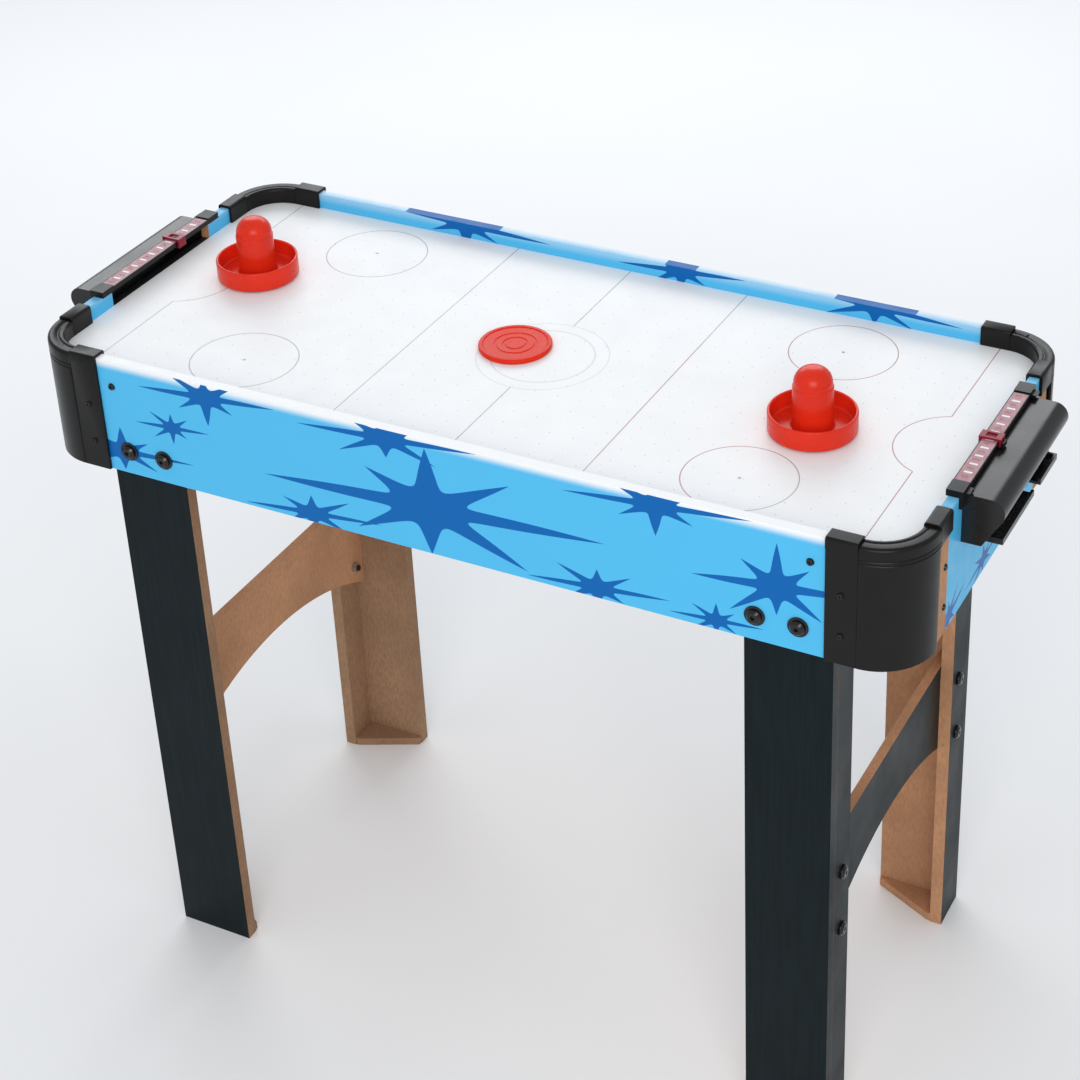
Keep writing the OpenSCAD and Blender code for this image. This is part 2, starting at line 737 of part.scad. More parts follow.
// ---- wiring: motor to battery box, battery box to switch ----
module wiring() color("red") {
    z = floor_z - 5;
    wire_y = 8;
    switch_in = side_y - switch_depth;
    rod_x([fan_r, -wire_y, z], wire_r, bat_x - bat_l / 2 - fan_r);
    rod_x([fan_r, wire_y, z], wire_r, bat_x - bat_l / 2 - fan_r);
    for (x = [switch_x - 3, switch_x + 3]) {
        rod_y([x, bat_w / 2, z - 6], wire_r, switch_in - bat_w / 2 - 12);
        translate([x, switch_in - 12, z - 6]) sphere(wire_r);
        translate([x, switch_in - 12, switch_z]) cylinder(r = wire_r, h = z - 6 - switch_z);
        translate([x, switch_in - 12, switch_z]) sphere(wire_r);
        rod_y([x, switch_in - 12, switch_z], wire_r, 12);
    }
}

// ---- playing pieces ----
module puck() color(toy_red)
    translate([puck_at[0], puck_at[1], field_z]) rotate_extrude($fn = 96)
        difference() {
            union() {
                square([puck_r - 1.5, puck_h]);
                translate([0, 1.5]) square([puck_r, puck_h - 3]);
                for (z = [1.5, puck_h - 1.5]) translate([puck_r - 1.5, z]) circle(1.5);
            }
            translate([0, puck_h - 1]) square([puck_r - 5, 2]);
            for (r = [9, 17]) translate([r, puck_h - 1.8]) square([2.2, 2]);
            translate([-puck_r, -eps]) square([puck_r, puck_h + 2 * eps]);
        }

// Striker: dish with an upright rim, and a knob with a domed cap above a small step.
module striker(at) color(toy_red)
    translate([at[0], at[1], field_z + felt_t]) rotate_extrude($fn = 96) striker_section();

module striker_section() {
    base_t = 4;
    high = striker_h - felt_t;
    shoulder = 14;
    cap_h = 16.5;
    rim_high = striker_rim_h - felt_t - striker_wall / 2;
    difference() {
        union() {
            square([striker_r, base_t]);
            translate([striker_r - striker_wall, 0]) square([striker_wall, rim_high]);
            translate([striker_r - striker_wall / 2, rim_high]) circle(striker_wall / 2);
            square([knob_r + 0.8, high - cap_h]);
            square([knob_r, high - shoulder]);
            square([knob_r - shoulder, high]);
            translate([knob_r - shoulder, high - shoulder]) circle(shoulder);
        }
        translate([-striker_r, -eps]) square([striker_r, high + 2 * eps]);
    }
}

module left_striker() striker(left_striker_at);
module right_striker() striker(right_striker_at);

module felt_pad(at) color("dimgray")
    translate([at[0], at[1], field_z])
        difference() {
            cylinder(r = striker_r - 3, h = felt_t, $fn = 96);
            pipe_hole(12, felt_t + 2 * eps, [0, 0, -eps]);
        }

module left_felt() felt_pad(left_striker_at);
module right_felt() felt_pad(right_striker_at);

front_panel();
back_panel();
left_end_panel();
right_end_panel();
playfield();
long_battens();
end_battens();
chamber_floor();
front_left_corner();
front_right_corner();
back_left_corner();
back_right_corner();
left_goal_box();
right_goal_box();
left_score_bar();
right_score_bar();
left_number_strip();
right_number_strip();
left_marker();
right_marker();
left_marker_clip();
right_marker_clip();
front_left_leg();
front_right_leg();
back_left_leg();
back_right_leg();
front_left_leg_side();
front_right_leg_side();
back_left_leg_side();
back_right_leg_side();
front_left_foot();
front_right_foot();
back_left_foot();
back_right_foot();
left_brace();
right_brace();
panel_bolts();
panel_washers();
panel_nuts();
brace_bolts();
brace_nuts();
moulding_screws();
panel_screws();
floor_screws();
fan_housing();
intake_grille();
fan_motor();
impeller();
battery_box();
battery_cover();
battery_cells();
battery_contacts();
switch_body();
switch_rocker();
wiring();
puck();
left_striker();
right_striker();
left_felt();
right_felt();
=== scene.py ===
"""Finished pieces, materials, lights and camera for the air hockey table."""

import json
import math

import bmesh
import bpy
from mathutils import Matrix, Vector

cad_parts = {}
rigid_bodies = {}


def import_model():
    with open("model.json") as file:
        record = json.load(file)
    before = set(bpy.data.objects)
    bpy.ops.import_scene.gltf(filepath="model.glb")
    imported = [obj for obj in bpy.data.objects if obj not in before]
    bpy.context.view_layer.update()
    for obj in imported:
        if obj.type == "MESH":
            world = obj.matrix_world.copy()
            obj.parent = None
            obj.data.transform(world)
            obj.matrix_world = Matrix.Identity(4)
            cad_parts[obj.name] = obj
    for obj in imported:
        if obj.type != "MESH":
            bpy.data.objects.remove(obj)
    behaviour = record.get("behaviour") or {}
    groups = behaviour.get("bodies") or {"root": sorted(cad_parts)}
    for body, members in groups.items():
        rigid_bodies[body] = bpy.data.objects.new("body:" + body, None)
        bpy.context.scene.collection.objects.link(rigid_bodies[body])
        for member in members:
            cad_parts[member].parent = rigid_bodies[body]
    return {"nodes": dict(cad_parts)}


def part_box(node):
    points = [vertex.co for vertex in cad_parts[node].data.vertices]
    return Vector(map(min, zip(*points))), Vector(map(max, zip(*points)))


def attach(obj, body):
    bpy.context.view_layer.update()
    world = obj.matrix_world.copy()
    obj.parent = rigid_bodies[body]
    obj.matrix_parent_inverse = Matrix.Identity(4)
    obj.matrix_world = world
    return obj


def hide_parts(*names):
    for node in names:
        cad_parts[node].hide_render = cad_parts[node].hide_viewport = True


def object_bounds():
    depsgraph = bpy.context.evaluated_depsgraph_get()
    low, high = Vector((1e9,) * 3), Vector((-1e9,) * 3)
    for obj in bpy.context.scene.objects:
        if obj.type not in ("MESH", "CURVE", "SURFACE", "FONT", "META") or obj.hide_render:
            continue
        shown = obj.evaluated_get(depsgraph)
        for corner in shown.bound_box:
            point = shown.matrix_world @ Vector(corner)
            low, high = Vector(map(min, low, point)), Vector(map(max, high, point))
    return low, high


bl_info = {
    "name": "Air Hockey Table",
    "version": (1, 0, 0),
    "blender": (4, 5, 0),
    "location": "3D View > Sidebar > Air Hockey",
    "description": "Builds the finished pieces and materials of a small air hockey table",
    "category": "Object",
}

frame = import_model()
CAD_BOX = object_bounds()

MM = 0.001
WELD = 0.005 * MM
LEFT, RIGHT = -1, 1
FRONT, BACK = -1, 1
SIDES = (("front", FRONT), ("back", BACK))
ENDS = (("left", LEFT), ("right", RIGHT))
CORNERS = [(s, side, e, end) for s, side in SIDES for e, end in ENDS]

# Places that several pieces share, all read from the frame.
PANEL_LOW, PANEL_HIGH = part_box("front_panel")
END_LOW, END_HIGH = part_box("right_end_panel")
FIELD_LOW, FIELD_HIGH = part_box("playfield")
CORNER_LOW, CORNER_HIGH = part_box("front_right_corner")
PANEL_TOP = PANEL_HIGH.z
FIELD_TOP = FIELD_HIGH.z
SIDE_FACE = -PANEL_LOW.y
END_FACE = END_HIGH.x
PANEL_THICK = END_HIGH.x - END_LOW.x

# Sizes of the corner mouldings that the frame does not hold.
CORNER_RADIUS = 49 * MM
CLIP_BAND = 0.8 * MM


# ---- what a user can change ----
def length(name, text, default):
    return bpy.props.FloatProperty(name=name, description=text, default=default, unit="LENGTH", precision=5)


def colour(name, text, default):
    return bpy.props.FloatVectorProperty(
        name=name, description=text, default=default, subtype="COLOR", size=3, min=0.0, max=1.0
    )


class HockeySizes(bpy.types.PropertyGroup):
    """Sizes of the details that the frame does not hold."""

    board_edge: length("Board edge", "Rounding of the sawn board edges", 0.5 * MM)
    moulded_edge: length("Moulded edge", "Rounding of the moulded plastic edges", 0.6 * MM)
    metal_edge: length("Metal edge", "Rounding of bolt heads and washers", 0.35 * MM)
    hole_radius: length("Air hole", "Radius of an air hole", 0.6 * MM)
    hole_step_x: length("Hole step along", "Distance between air holes along the table", 22 * MM)
    hole_step_y: length("Hole step across", "Distance between air holes across the table", 18.6 * MM)
    line_width: length("Line width", "Width of the printed field lines", 1.1 * MM)
    zone_line_x: length("Zone line", "Zone lines, from the middle", 119 * MM)
    goal_line_x: length("Goal line", "Goal lines, from the middle", 361.7 * MM)
    spot_x: length("Spot along", "Face-off spots, along the table", 238.6 * MM)
    spot_y: length("Spot across", "Face-off spots, across the table", 111.5 * MM)
    spot_ring: length("Spot ring", "Radius of a face-off ring", 48 * MM)
    centre_ring: length("Centre ring", "Radius of the centre ring", 58.8 * MM)
    inner_ring: length("Inner ring", "Radius of the ring inside the centre ring", 46 * MM)
    crease_half: length("Crease", "Half the width of the goal crease on its line", 46.5 * MM)
    crease_depth: length("Crease depth", "How far the goal crease bulges into the field", 31.3 * MM)
    fade_depth: length("Print fade", "Depth of the white fade below the front panel's top", 10 * MM)
    bead_drop: length("Bead", "Depth of the corner bead below the rail's top", 15 * MM)
    end_margin: length("Bare margin", "Edge of the print on the end panels, from the middle", 111 * MM)


class HockeyColours(bpy.types.PropertyGroup):
    """Base colours of the finishes, in linear light."""

    film_blue: colour("Film", "Light blue of the printed panels", (0.085, 0.50, 0.84))
    star_blue: colour("Stars", "Darker blue of the printed stars", (0.0, 0.125, 0.43))
    field_white: colour("Field", "Lacquered playing surface", (0.93, 0.94, 0.945))
    line_red: colour("Lines", "Printed lines", (0.42, 0.15, 0.14))
    line_grey: colour("Faint lines", "Printed lines where they are faint", (0.37, 0.37, 0.38))
    raw_brown: colour("Raw board", "Cut fibreboard", (0.54, 0.283, 0.152))
    # The left legs' bare board is a darker copy of the raw board colour: painted shade.
    raw_dull: colour("Raw legs", "Cut fibreboard of the left legs, darkened as painted shade", (0.34, 0.20, 0.117))
    leg_black: colour("Leg film", "Dark melamine on the legs and braces", (0.0035, 0.0085, 0.0105))
    moulding_black: colour("Mouldings", "Black satin plastic", (0.0072, 0.0068, 0.0066))
    toy_red: colour("Playing pieces", "Red plastic", (0.76, 0.028, 0.008))
    marker_red: colour("Markers", "Dark red plastic of the score markers", (0.26, 0.010, 0.028))
    strip_pink: colour("Score strip", "Ground of the score strip", (0.42, 0.20, 0.23))


def sizes():
    return bpy.context.scene.hockey_sizes


def colours():
    return bpy.context.scene.hockey_colours


# ---- modelling by hand ----
def deselect():
    if bpy.context.mode != "OBJECT":
        bpy.ops.object.mode_set(mode="OBJECT")
    bpy.ops.object.select_all(action="DESELECT")


def pick(obj):
    deselect()
    obj.select_set(True)
    bpy.context.view_layer.objects.active = obj
    return obj


def edit_all(obj):
    pick(obj)
    bpy.ops.object.mode_set(mode="EDIT")
    bpy.ops.mesh.select_mode(type="VERT")
    bpy.ops.mesh.select_all(action="SELECT")


def object_mode():
    bpy.ops.object.mode_set(mode="OBJECT")


def new_piece(name):
    """The primitive that was just added, under its own name, with its place in its mesh."""
    obj = bpy.context.object
    obj.name = name
    obj.data.name = name
    bpy.ops.object.transform_apply(location=True, rotation=True, scale=True)
    return obj


def merged_copy(node, name):
    """A copy of a frame node's mesh whose loose triangles are merged into whole faces."""
    obj = bpy.data.objects.new(name, frame["nodes"][node].data.copy())
    bpy.context.scene.collection.objects.link(obj)
    obj.data.materials.clear()
    edit_all(obj)
    bpy.ops.mesh.remove_doubles(threshold=WELD)
    bpy.ops.mesh.dissolve_limited(angle_limit=math.radians(0.5))
    object_mode()
    if obj.data.has_custom_normals:
        bpy.ops.mesh.customdata_custom_splitnormals_clear()
    return obj


def apply_modifier(obj, kind, **settings):
    pick(obj)
    modifier = obj.modifiers.new(kind.title(), kind)
    for key, value in settings.items():
        setattr(modifier, key, value)
    bpy.ops.object.modifier_apply(modifier=modifier.name)


def soften(obj, width, segments=2, corner=30):
    """Rounds the sharp edges and gives the flat faces flat shading."""
    apply_modifier(
        obj, "BEVEL", width=width, segments=segments, limit_method="ANGLE",
        angle_limit=math.radians(corner), use_clamp_overlap=True, miter_outer="MITER_ARC",
    )
    smooth(obj)
    apply_modifier(obj, "WEIGHTED_NORMAL", keep_sharp=True, weight=80)
    return obj


def smooth(obj, angle=40):
    pick(obj)
    bpy.ops.object.shade_smooth_by_angle(angle=math.radians(angle))
    return obj


def cut_at(obj, point, normal):
    edit_all(obj)
    bpy.ops.mesh.bisect(plane_co=point, plane_no=normal)
    object_mode()


def face_out(obj):
    edit_all(obj)
    bpy.ops.mesh.normals_make_consistent(inside=False)
    object_mode()
    return obj


def turned(name, outline, at, steps=96, ring=False):
    """A round piece: a ring extruded and resized from each point (radius, height) to the next.
    A ring piece closes onto its own first point, and any other is filled at both ends."""
    radius, height = outline[0]
    deselect()
    bpy.ops.mesh.primitive_circle_add(vertices=steps, radius=radius, location=(at[0], at[1], at[2] + height))
    obj = new_piece(name)
    edit_all(obj)
    if not ring:
        bpy.ops.mesh.edge_face_add()
        bpy.ops.mesh.select_mode(type="EDGE")
    for next_radius, next_height in outline[1:]:
        centre = (at[0], at[1], at[2] + next_height)
        bpy.ops.mesh.extrude_region_move(TRANSFORM_OT_translate={"value": (0, 0, next_height - height)})
        scale = next_radius / radius
        bpy.ops.transform.resize(value=(scale, scale, 1), center_override=centre)
        radius, height = next_radius, next_height
    if ring:
        bpy.ops.mesh.select_all(action="SELECT")
        bpy.ops.mesh.select_mode(type="EDGE")
        bpy.ops.mesh.region_to_loop()
        bpy.ops.mesh.bridge_edge_loops()
    object_mode()
    return face_out(obj)


def shaped(name, points, place):
    """A flat outline: a ring of as many vertices as the outline has points, each set in its place."""
    deselect()
    bpy.ops.mesh.primitive_circle_add(vertices=len(points), radius=0.01, fill_type="NGON")
    obj = new_piece(name)
    for vertex, point in zip(obj.data.vertices, points):
        vertex.co = place(*point)
    return obj


def arc(centre, radius, start, stop, steps=6):
    """Points on an arc, with angles in degrees."""
    angles = [math.radians(start + (stop - start) * n / steps) for n in range(steps + 1)]
    return [(centre[0] + radius * math.cos(a), centre[1] + radius * math.sin(a)) for a in angles]


def joined(name, objects):
    deselect()
    for obj in objects:
        obj.select_set(True)
    bpy.context.view_layer.objects.active = objects[0]
    bpy.ops.object.join()
    objects[0].name = name
    return objects[0]


def placed_copy(obj, name, matrix):
    """A copy with its own mesh, moved by the matrix, and turned the right way out after a mirror."""
    copy = bpy.data.objects.new(name, obj.data.copy())
    bpy.context.scene.collection.objects.link(copy)
    copy.data.transform(matrix)
    if matrix.determinant() < 0:
        copy.data.flip_normals()
    return copy


def mirrored(end, side):
    return Matrix.Diagonal((end, side, 1, 1))


def finish_piece(obj, material, slot, body, *nodes):
    """Gives a piece its material where it has none, and ties it to the frame."""
    if not obj.data.materials:
        obj.data.materials.append(material)
    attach(obj, body)
    if nodes:
        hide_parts(*nodes)
    return obj


def paint(obj, base, other, chosen):
    """Two materials on one piece: other goes on the faces that chosen picks by normal and centre."""
    obj.data.materials.clear()
    obj.data.materials.append(base)
    obj.data.materials.append(other)
    for face in obj.data.polygons:
        face.material_index = 1 if chosen(face.normal, face.center) else 0


# ---- materials ----
class Finish:
    """A node material, with short calls for the nodes that the finishes use."""

    def __init__(self, name, base, rough, **sockets):
        self.material = bpy.data.materials.new(name)
        self.material.use_nodes = True
        self.tree = self.material.node_tree
        self.shader = self.tree.nodes["Principled BSDF"]
        self.shader.inputs["Base Color"].default_value = (*base, 1)
        self.shader.inputs["Roughness"].default_value = rough
        for key, value in sockets.items():
            self.shader.inputs[key.replace("_", " ")].default_value = value
        self.place = self.add("ShaderNodeTexCoord").outputs["Object"]

    def add(self, kind, **settings):
        node = self.tree.nodes.new(kind)
        for key, value in settings.items():
            setattr(node, key, value)
        return node

    def feed(self, socket, value):
        if isinstance(value, bpy.types.NodeSocket):
            self.tree.links.new(value, socket)
        else:
            socket.default_value = value

    def math(self, operation, first, second=0.0, third=0.0):
        node = self.add("ShaderNodeMath", operation=operation)
        for socket, value in zip(node.inputs, (first, second, third)):
            self.feed(socket, value)
        return node.outputs[0]

    def distance(self, across, up):
        squares = self.math("ADD", self.math("MULTIPLY", across, across), self.math("MULTIPLY", up, up))
        return self.math("SQRT", squares)

    def axes(self):
        node = self.add("ShaderNodeSeparateXYZ")
        self.feed(node.inputs[0], self.place)
        return node.outputs

    def stretch(self, scale):
        node = self.add("ShaderNodeMapping")
        self.feed(node.inputs["Vector"], self.place)
        node.inputs["Scale"].default_value = scale
        return node.outputs[0]

    def noise(self, scale, detail=4.0, rough=0.55, vector=None):
        node = self.add("ShaderNodeTexNoise")
        self.feed(node.inputs["Vector"], vector or self.place)
        node.inputs["Scale"].default_value = scale
        node.inputs["Detail"].default_value = detail
        node.inputs["Roughness"].default_value = rough
        return node.outputs["Fac"]

    def spread(self, value, low, high, out_low=0.0, out_high=1.0):
        """A value taken from one range to another, and held to it."""
        node = self.add("ShaderNodeMapRange", interpolation_type="SMOOTHSTEP")
        for socket, number in zip(node.inputs, (value, low, high, out_low, out_high)):
            self.feed(socket, number)
        return node.outputs[0]

    def mix(self, amount, first, second):
        node = self.add("ShaderNodeMix", data_type="RGBA")
        self.feed(node.inputs[0], amount)
        self.feed(node.inputs[6], first if isinstance(first, bpy.types.NodeSocket) else (*first, 1))
        self.feed(node.inputs[7], second if isinstance(second, bpy.types.NodeSocket) else (*second, 1))
        return node.outputs[2]

    def colour(self, socket):
        self.feed(self.shader.inputs["Base Color"], socket)
        return self

    def rough(self, socket):
        self.feed(self.shader.inputs["Roughness"], socket)
        return self

    def bump(self, height, depth, strength=1.0):
        node = self.add("ShaderNodeBump")
        node.inputs["Strength"].default_value = strength
        node.inputs["Distance"].default_value = depth
        self.feed(node.inputs["Height"], height)
        self.feed(self.shader.inputs["Normal"], node.outputs[0])
        return self


def shade(base, factor):
    return tuple(min(1.0, channel * factor) for channel in base)


# Stars of the printed film: place along the panel, height, reach along it, reach up it, and tilt in degrees.
FRONT_STARS = (
    (-0.230, 0.640, 0.072, 0.036, 4), (-0.270, 0.600, 0.040, 0.024, 4), (-0.328, 0.562, 0.078, 0.034, 3),
    (-0.050, 0.644, 0.088, 0.036, 4), (-0.012, 0.586, 0.165, 0.078, 3), (-0.130, 0.549, 0.070, 0.030, 5),
    (0.198, 0.644, 0.084, 0.036, 5), (0.144, 0.550, 0.066, 0.032, 5), (0.250, 0.549, 0.042, 0.024, 4),
    (0.302, 0.596, 0.074, 0.052, 6),
)
BACK_STARS = (
    (-0.177, 0.652, 0.094, 0.034, -2), (0.052, 0.649, 0.066, 0.032, 3), (0.243, 0.653, 0.084, 0.032, -3),
    (-0.300, 0.600, 0.080, 0.044, 6), (-0.060, 0.592, 0.150, 0.060, -5), (0.160, 0.576, 0.090, 0.036, 4),
    (0.312, 0.556, 0.060, 0.030, 5), (-0.205, 0.553, 0.070, 0.026, -4),
)
END_STARS = (
    (-0.104, 0.549, 0.040, 0.030, 12), (0.070, 0.566, 0.072, 0.036, 6), (-0.020, 0.552, 0.046, 0.022, 5),
)
STAR_POINTS = 8
STAR_WAIST = 0.25
STAR_PINCH = 1.3
SHORT_SPIKE = 0.66
SPIKE_SPREAD = 0.14


def star(finish, along, height, row, seed):
    """1 inside a spiky star and 0 outside it. The level spikes are longest, and the valleys are rounded."""
    centre_x, centre_z, reach_x, reach_z, tilt = row
    turn = math.radians(tilt)
    dx = finish.math("SUBTRACT", along, centre_x)
    dz = finish.math("MULTIPLY_ADD", dx, -math.tan(turn), finish.math("SUBTRACT", height, centre_z))
    u = finish.math("DIVIDE", dx, reach_x)
    v = finish.math("DIVIDE", dz, reach_z)
    far = finish.distance(u, v)
    angle = finish.math("ARCTAN2", v, u)
    spike = finish.math("MULTIPLY", angle, STAR_POINTS / math.tau)
    nearest = finish.math("ROUND", spike)
    beside = finish.math("ABSOLUTE", finish.math("SUBTRACT", spike, nearest))
    off = finish.math("MULTIPLY", beside, 2.0)
    which = finish.math("FLOORED_MODULO", nearest, float(STAR_POINTS))
    wave = finish.math("SINE", finish.math("MULTIPLY_ADD", which, 2.4, float(seed)))
    level = finish.math("LESS_THAN", finish.math("FLOORED_MODULO", which, STAR_POINTS / 2), 0.5)
    reach = finish.math("MAXIMUM", finish.math("MULTIPLY_ADD", wave, SPIKE_SPREAD, SHORT_SPIKE), level)
    left = finish.math("SUBTRACT", 1.0, off)
    pinch = finish.math("MULTIPLY_ADD", off, STAR_PINCH, 1.0)
    fall = finish.math("DIVIDE", finish.math("MULTIPLY", left, left), pinch)
    edge = finish.math("MULTIPLY_ADD", fall, finish.math("SUBTRACT", reach, STAR_WAIST), STAR_WAIST)
    return finish.spread(finish.math("SUBTRACT", edge, far), -0.004, 0.008)


def printed_film(name, axis, stars, fade, reach, top_fade=0.0, top_white=0.0):
    """Blue printed film with darker stars. Its ground fades towards white over the given reach below
    the top, and by top_fade more across the top edge. With top_white, that edge is white over the stars."""
    tint = colours()
    film = Finish(name, tint.film_blue, 0.34, Specular_IOR_Level=0.16)
    place = film.axes()
    along, height = place[axis], place[2]
    mask = 0.0
    for seed, row in enumerate(stars):
        mask = film.math("MAXIMUM", mask, star(film, along, height, row, seed))
    mottle = film.spread(film.noise(26.0, 3.0), 0.3, 0.7, 0.0, 0.10)
    ground = film.mix(mottle, tint.film_blue, shade(tint.film_blue, 0.9))
    pale = film.spread(height, PANEL_TOP - reach, PANEL_TOP - 0.5 * MM, 0.0, fade)
    if top_fade:
        edge = film.spread(height, PANEL_TOP - 1.2 * MM, PANEL_TOP - 0.2 * MM)
        from_middle = film.math("ABSOLUTE", place[1])
        across = film.spread(from_middle, SIDE_FACE - PANEL_THICK, SIDE_FACE, 0.0, top_fade)
        pale = film.math("ADD", pale, film.math("MULTIPLY", edge, across))
    printed = film.mix(mask, film.mix(pale, ground, tint.field_white), tint.star_blue)
    if top_white:
        cap = film.spread(height, PANEL_TOP - 0.9 * MM, PANEL_TOP - 0.3 * MM, 0.0, top_white)
        printed = film.mix(cap, printed, tint.field_white)
    film.colour(printed)
    film.rough(film.spread(film.noise(60.0, 4.0), 0.2, 0.8, 0.28, 0.42))
    return film.bump(film.noise(900.0, 2.0), 0.05 * MM, 0.35).material


def raw_board(name, tint):
    """Cut fibreboard: brown, matt, with fine pressed fibres."""
    board = Finish(name, tint, 0.86, Specular_IOR_Level=0.2)
    fibres = board.noise(420.0, 8.0, 0.7, board.stretch((1.0, 1.0, 0.35)))
    clouds = board.noise(9.0, 4.0)
    warm = board.mix(board.spread(clouds, 0.3, 0.7), shade(tint, 0.80), shade(tint, 1.12))
    board.colour(board.mix(board.spread(fibres, 0.35, 0.72, 0.0, 0.55), warm, shade(tint, 0.55)))
    board.rough(board.spread(fibres, 0.2, 0.8, 0.74, 0.94))
    return board.bump(fibres, 0.25 * MM, 0.6).material


def leg_film():
    """Dark melamine film with a fine upright grain."""
    tint = colours().leg_black
    film = Finish("dark_melamine", tint, 0.42, Specular_IOR_Level=0.12)
    grain = film.noise(240.0, 6.0, 0.6, film.stretch((1.0, 1.0, 0.06)))
    film.colour(film.mix(film.spread(grain, 0.3, 0.75), shade(tint, 0.85), shade(tint, 1.45)))
    film.rough(film.spread(film.noise(14.0, 5.0), 0.25, 0.75, 0.36, 0.50))
    return film.bump(grain, 0.04 * MM, 0.5).material


def moulded(name, tint, low, high, texture=1400.0, depth=0.015 * MM, **sockets):
    """Moulded plastic with a fine spark-eroded texture and faint handling marks."""
    plastic = Finish(name, tint, low, **sockets)
    smears = plastic.noise(22.0, 6.0, 0.65)
    plastic.colour(plastic.mix(plastic.spread(smears, 0.3, 0.75), shade(tint, 0.9), shade(tint, 1.14)))
    plastic.rough(plastic.spread(smears, 0.25, 0.8, low, high))
    return plastic.bump(plastic.noise(texture, 2.0), depth, 0.4).material


def red_plastic(name, tint, sheen=0.24):
    """Glossy moulded plastic that light soaks into a little."""
    plastic = Finish(name, tint, 0.24, Specular_IOR_Level=sheen)
    plastic.shader.inputs["Subsurface Weight"].default_value = 0.06
    plastic.shader.inputs["Subsurface Radius"].default_value = (1.0, 0.15, 0.08)
    plastic.shader.inputs["Subsurface Scale"].default_value = 2 * MM
    smears = plastic.noise(34.0, 5.0, 0.6)
    plastic.colour(plastic.mix(plastic.spread(smears, 0.3, 0.75), shade(tint, 0.94), shade(tint, 1.05)))
    plastic.rough(plastic.spread(smears, 0.25, 0.8, 0.22, 0.34))
    return plastic.bump(plastic.noise(700.0, 2.0), 0.03 * MM, 0.3).material


def metal(name, tint, low, high, stretch=(1.0, 1.0, 1.0), metallic=1.0):
    """Plated or blackened metal with fine wear."""
    steel = Finish(name, tint, low, Metallic=metallic)
    wear = steel.noise(300.0, 5.0, 0.6, steel.stretch(stretch))
    steel.colour(steel.mix(steel.spread(wear, 0.35, 0.8), tint, shade(tint, 0.7)))
    steel.rough(steel.spread(wear, 0.25, 0.8, low, high))
    return steel.bump(wear, 0.02 * MM, 0.4).material


def fibrous(name, tint, dark):
    """Felt or rough cloth: matt, with short loose fibres."""
    cloth = Finish(name, tint, 0.95, Sheen_Weight=0.3, Specular_IOR_Level=0.1)
    fibres = cloth.noise(900.0, 8.0, 0.75)
    cloth.colour(cloth.mix(cloth.spread(fibres, 0.3, 0.7), shade(tint, dark), tint))
    return cloth.bump(fibres, 0.3 * MM, 0.8).material


def field_lacquer():
    """White lacquer with thin printed lines, all worked out from their distances."""
    size, tint = sizes(), colours()
    field = Finish("white_field_lacquer", tint.field_white, 0.42, Specular_IOR_Level=0.25)
    place = field.axes()
    x, y = place[0], place[1]
    ax, ay = field.math("ABSOLUTE", x), field.math("ABSOLUTE", y)

    def reach(from_x, from_y):
        return field.distance(field.math("SUBTRACT", ax, from_x), field.math("SUBTRACT", ay, from_y))

    def line(distance, at, width=size.line_width):
        off = field.math("ABSOLUTE", field.math("SUBTRACT", distance, at))
        return field.spread(off, width * 0.32, width * 0.62, 1.0, 0.0)

    crease_radius = (size.crease_depth**2 + size.crease_half**2) / (2 * size.crease_depth)
    crease_x = size.goal_line_x - size.crease_depth + crease_radius
    behind = field.math("LESS_THAN", ax, size.goal_line_x)
    beside = field.math("GREATER_THAN", ay, size.crease_half)
    from_middle = reach(0.0, 0.0)
    off_ring = field.math("GREATER_THAN", from_middle, size.centre_ring)
    from_spot = reach(size.spot_x, size.spot_y)
    bold = [
        field.math("MULTIPLY", line(ax, size.goal_line_x), beside),
        field.math("MULTIPLY", line(reach(crease_x, 0.0), crease_radius), behind),
        line(from_spot, size.spot_ring),
        line(ax, size.zone_line_x),
        field.math("MULTIPLY", line(ax, 0.0), off_ring),
        field.spread(from_spot, 1.2 * MM, 1.9 * MM, 1.0, 0.0),
    ]
    faint = [line(from_middle, size.centre_ring), line(from_middle, size.inner_ring, 1.8 * MM)]
    ink = 0.0
    for mark in bold:
        ink = field.math("MAXIMUM", ink, field.math("MULTIPLY", mark, 0.8))
    for mark in faint:
        ink = field.math("MAXIMUM", ink, field.math("MULTIPLY", mark, 0.3))
    patchy = field.spread(field.math("MULTIPLY_ADD", x, -0.55, field.noise(7.0, 2.0)), 0.30, 0.46)
    ink_colour = field.mix(patchy, tint.line_red, tint.line_grey)
    haze = field.spread(field.noise(3.0, 3.0), 0.3, 0.7)
    ground = field.mix(haze, tint.field_white, shade(tint.field_white, 0.97))
    field.colour(field.mix(ink, ground, ink_colour))
    field.rough(field.spread(field.noise(40.0, 5.0), 0.2, 0.8, 0.38, 0.5))
    return field.bump(field.noise(700.0, 3.0), 0.03 * MM, 0.3).material


def score_print():
    """Pink score strip, a little worn."""
    tint = colours().strip_pink
    strip = Finish("score_strip_print", tint, 0.4)
    wear = strip.noise(160.0, 5.0)
    strip.colour(strip.mix(strip.spread(wear, 0.35, 0.75), tint, shade(tint, 0.8)))
    return strip.rough(strip.spread(wear, 0.2, 0.8, 0.32, 0.5)).material


def softwood():
    """Sawn softwood battens with growth rings along their length."""
    wood = Finish("sawn_softwood", (0.6, 0.4, 0.2), 0.7, Specular_IOR_Level=0.25)
    rings = wood.noise(60.0, 4.0, 0.6, wood.stretch((0.05, 1.0, 1.0)))
    wood.colour(wood.mix(wood.spread(rings, 0.35, 0.65), (0.62, 0.43, 0.23), (0.42, 0.25, 0.11)))
    return wood.bump(rings, 0.2 * MM, 0.5).material


_made = {}


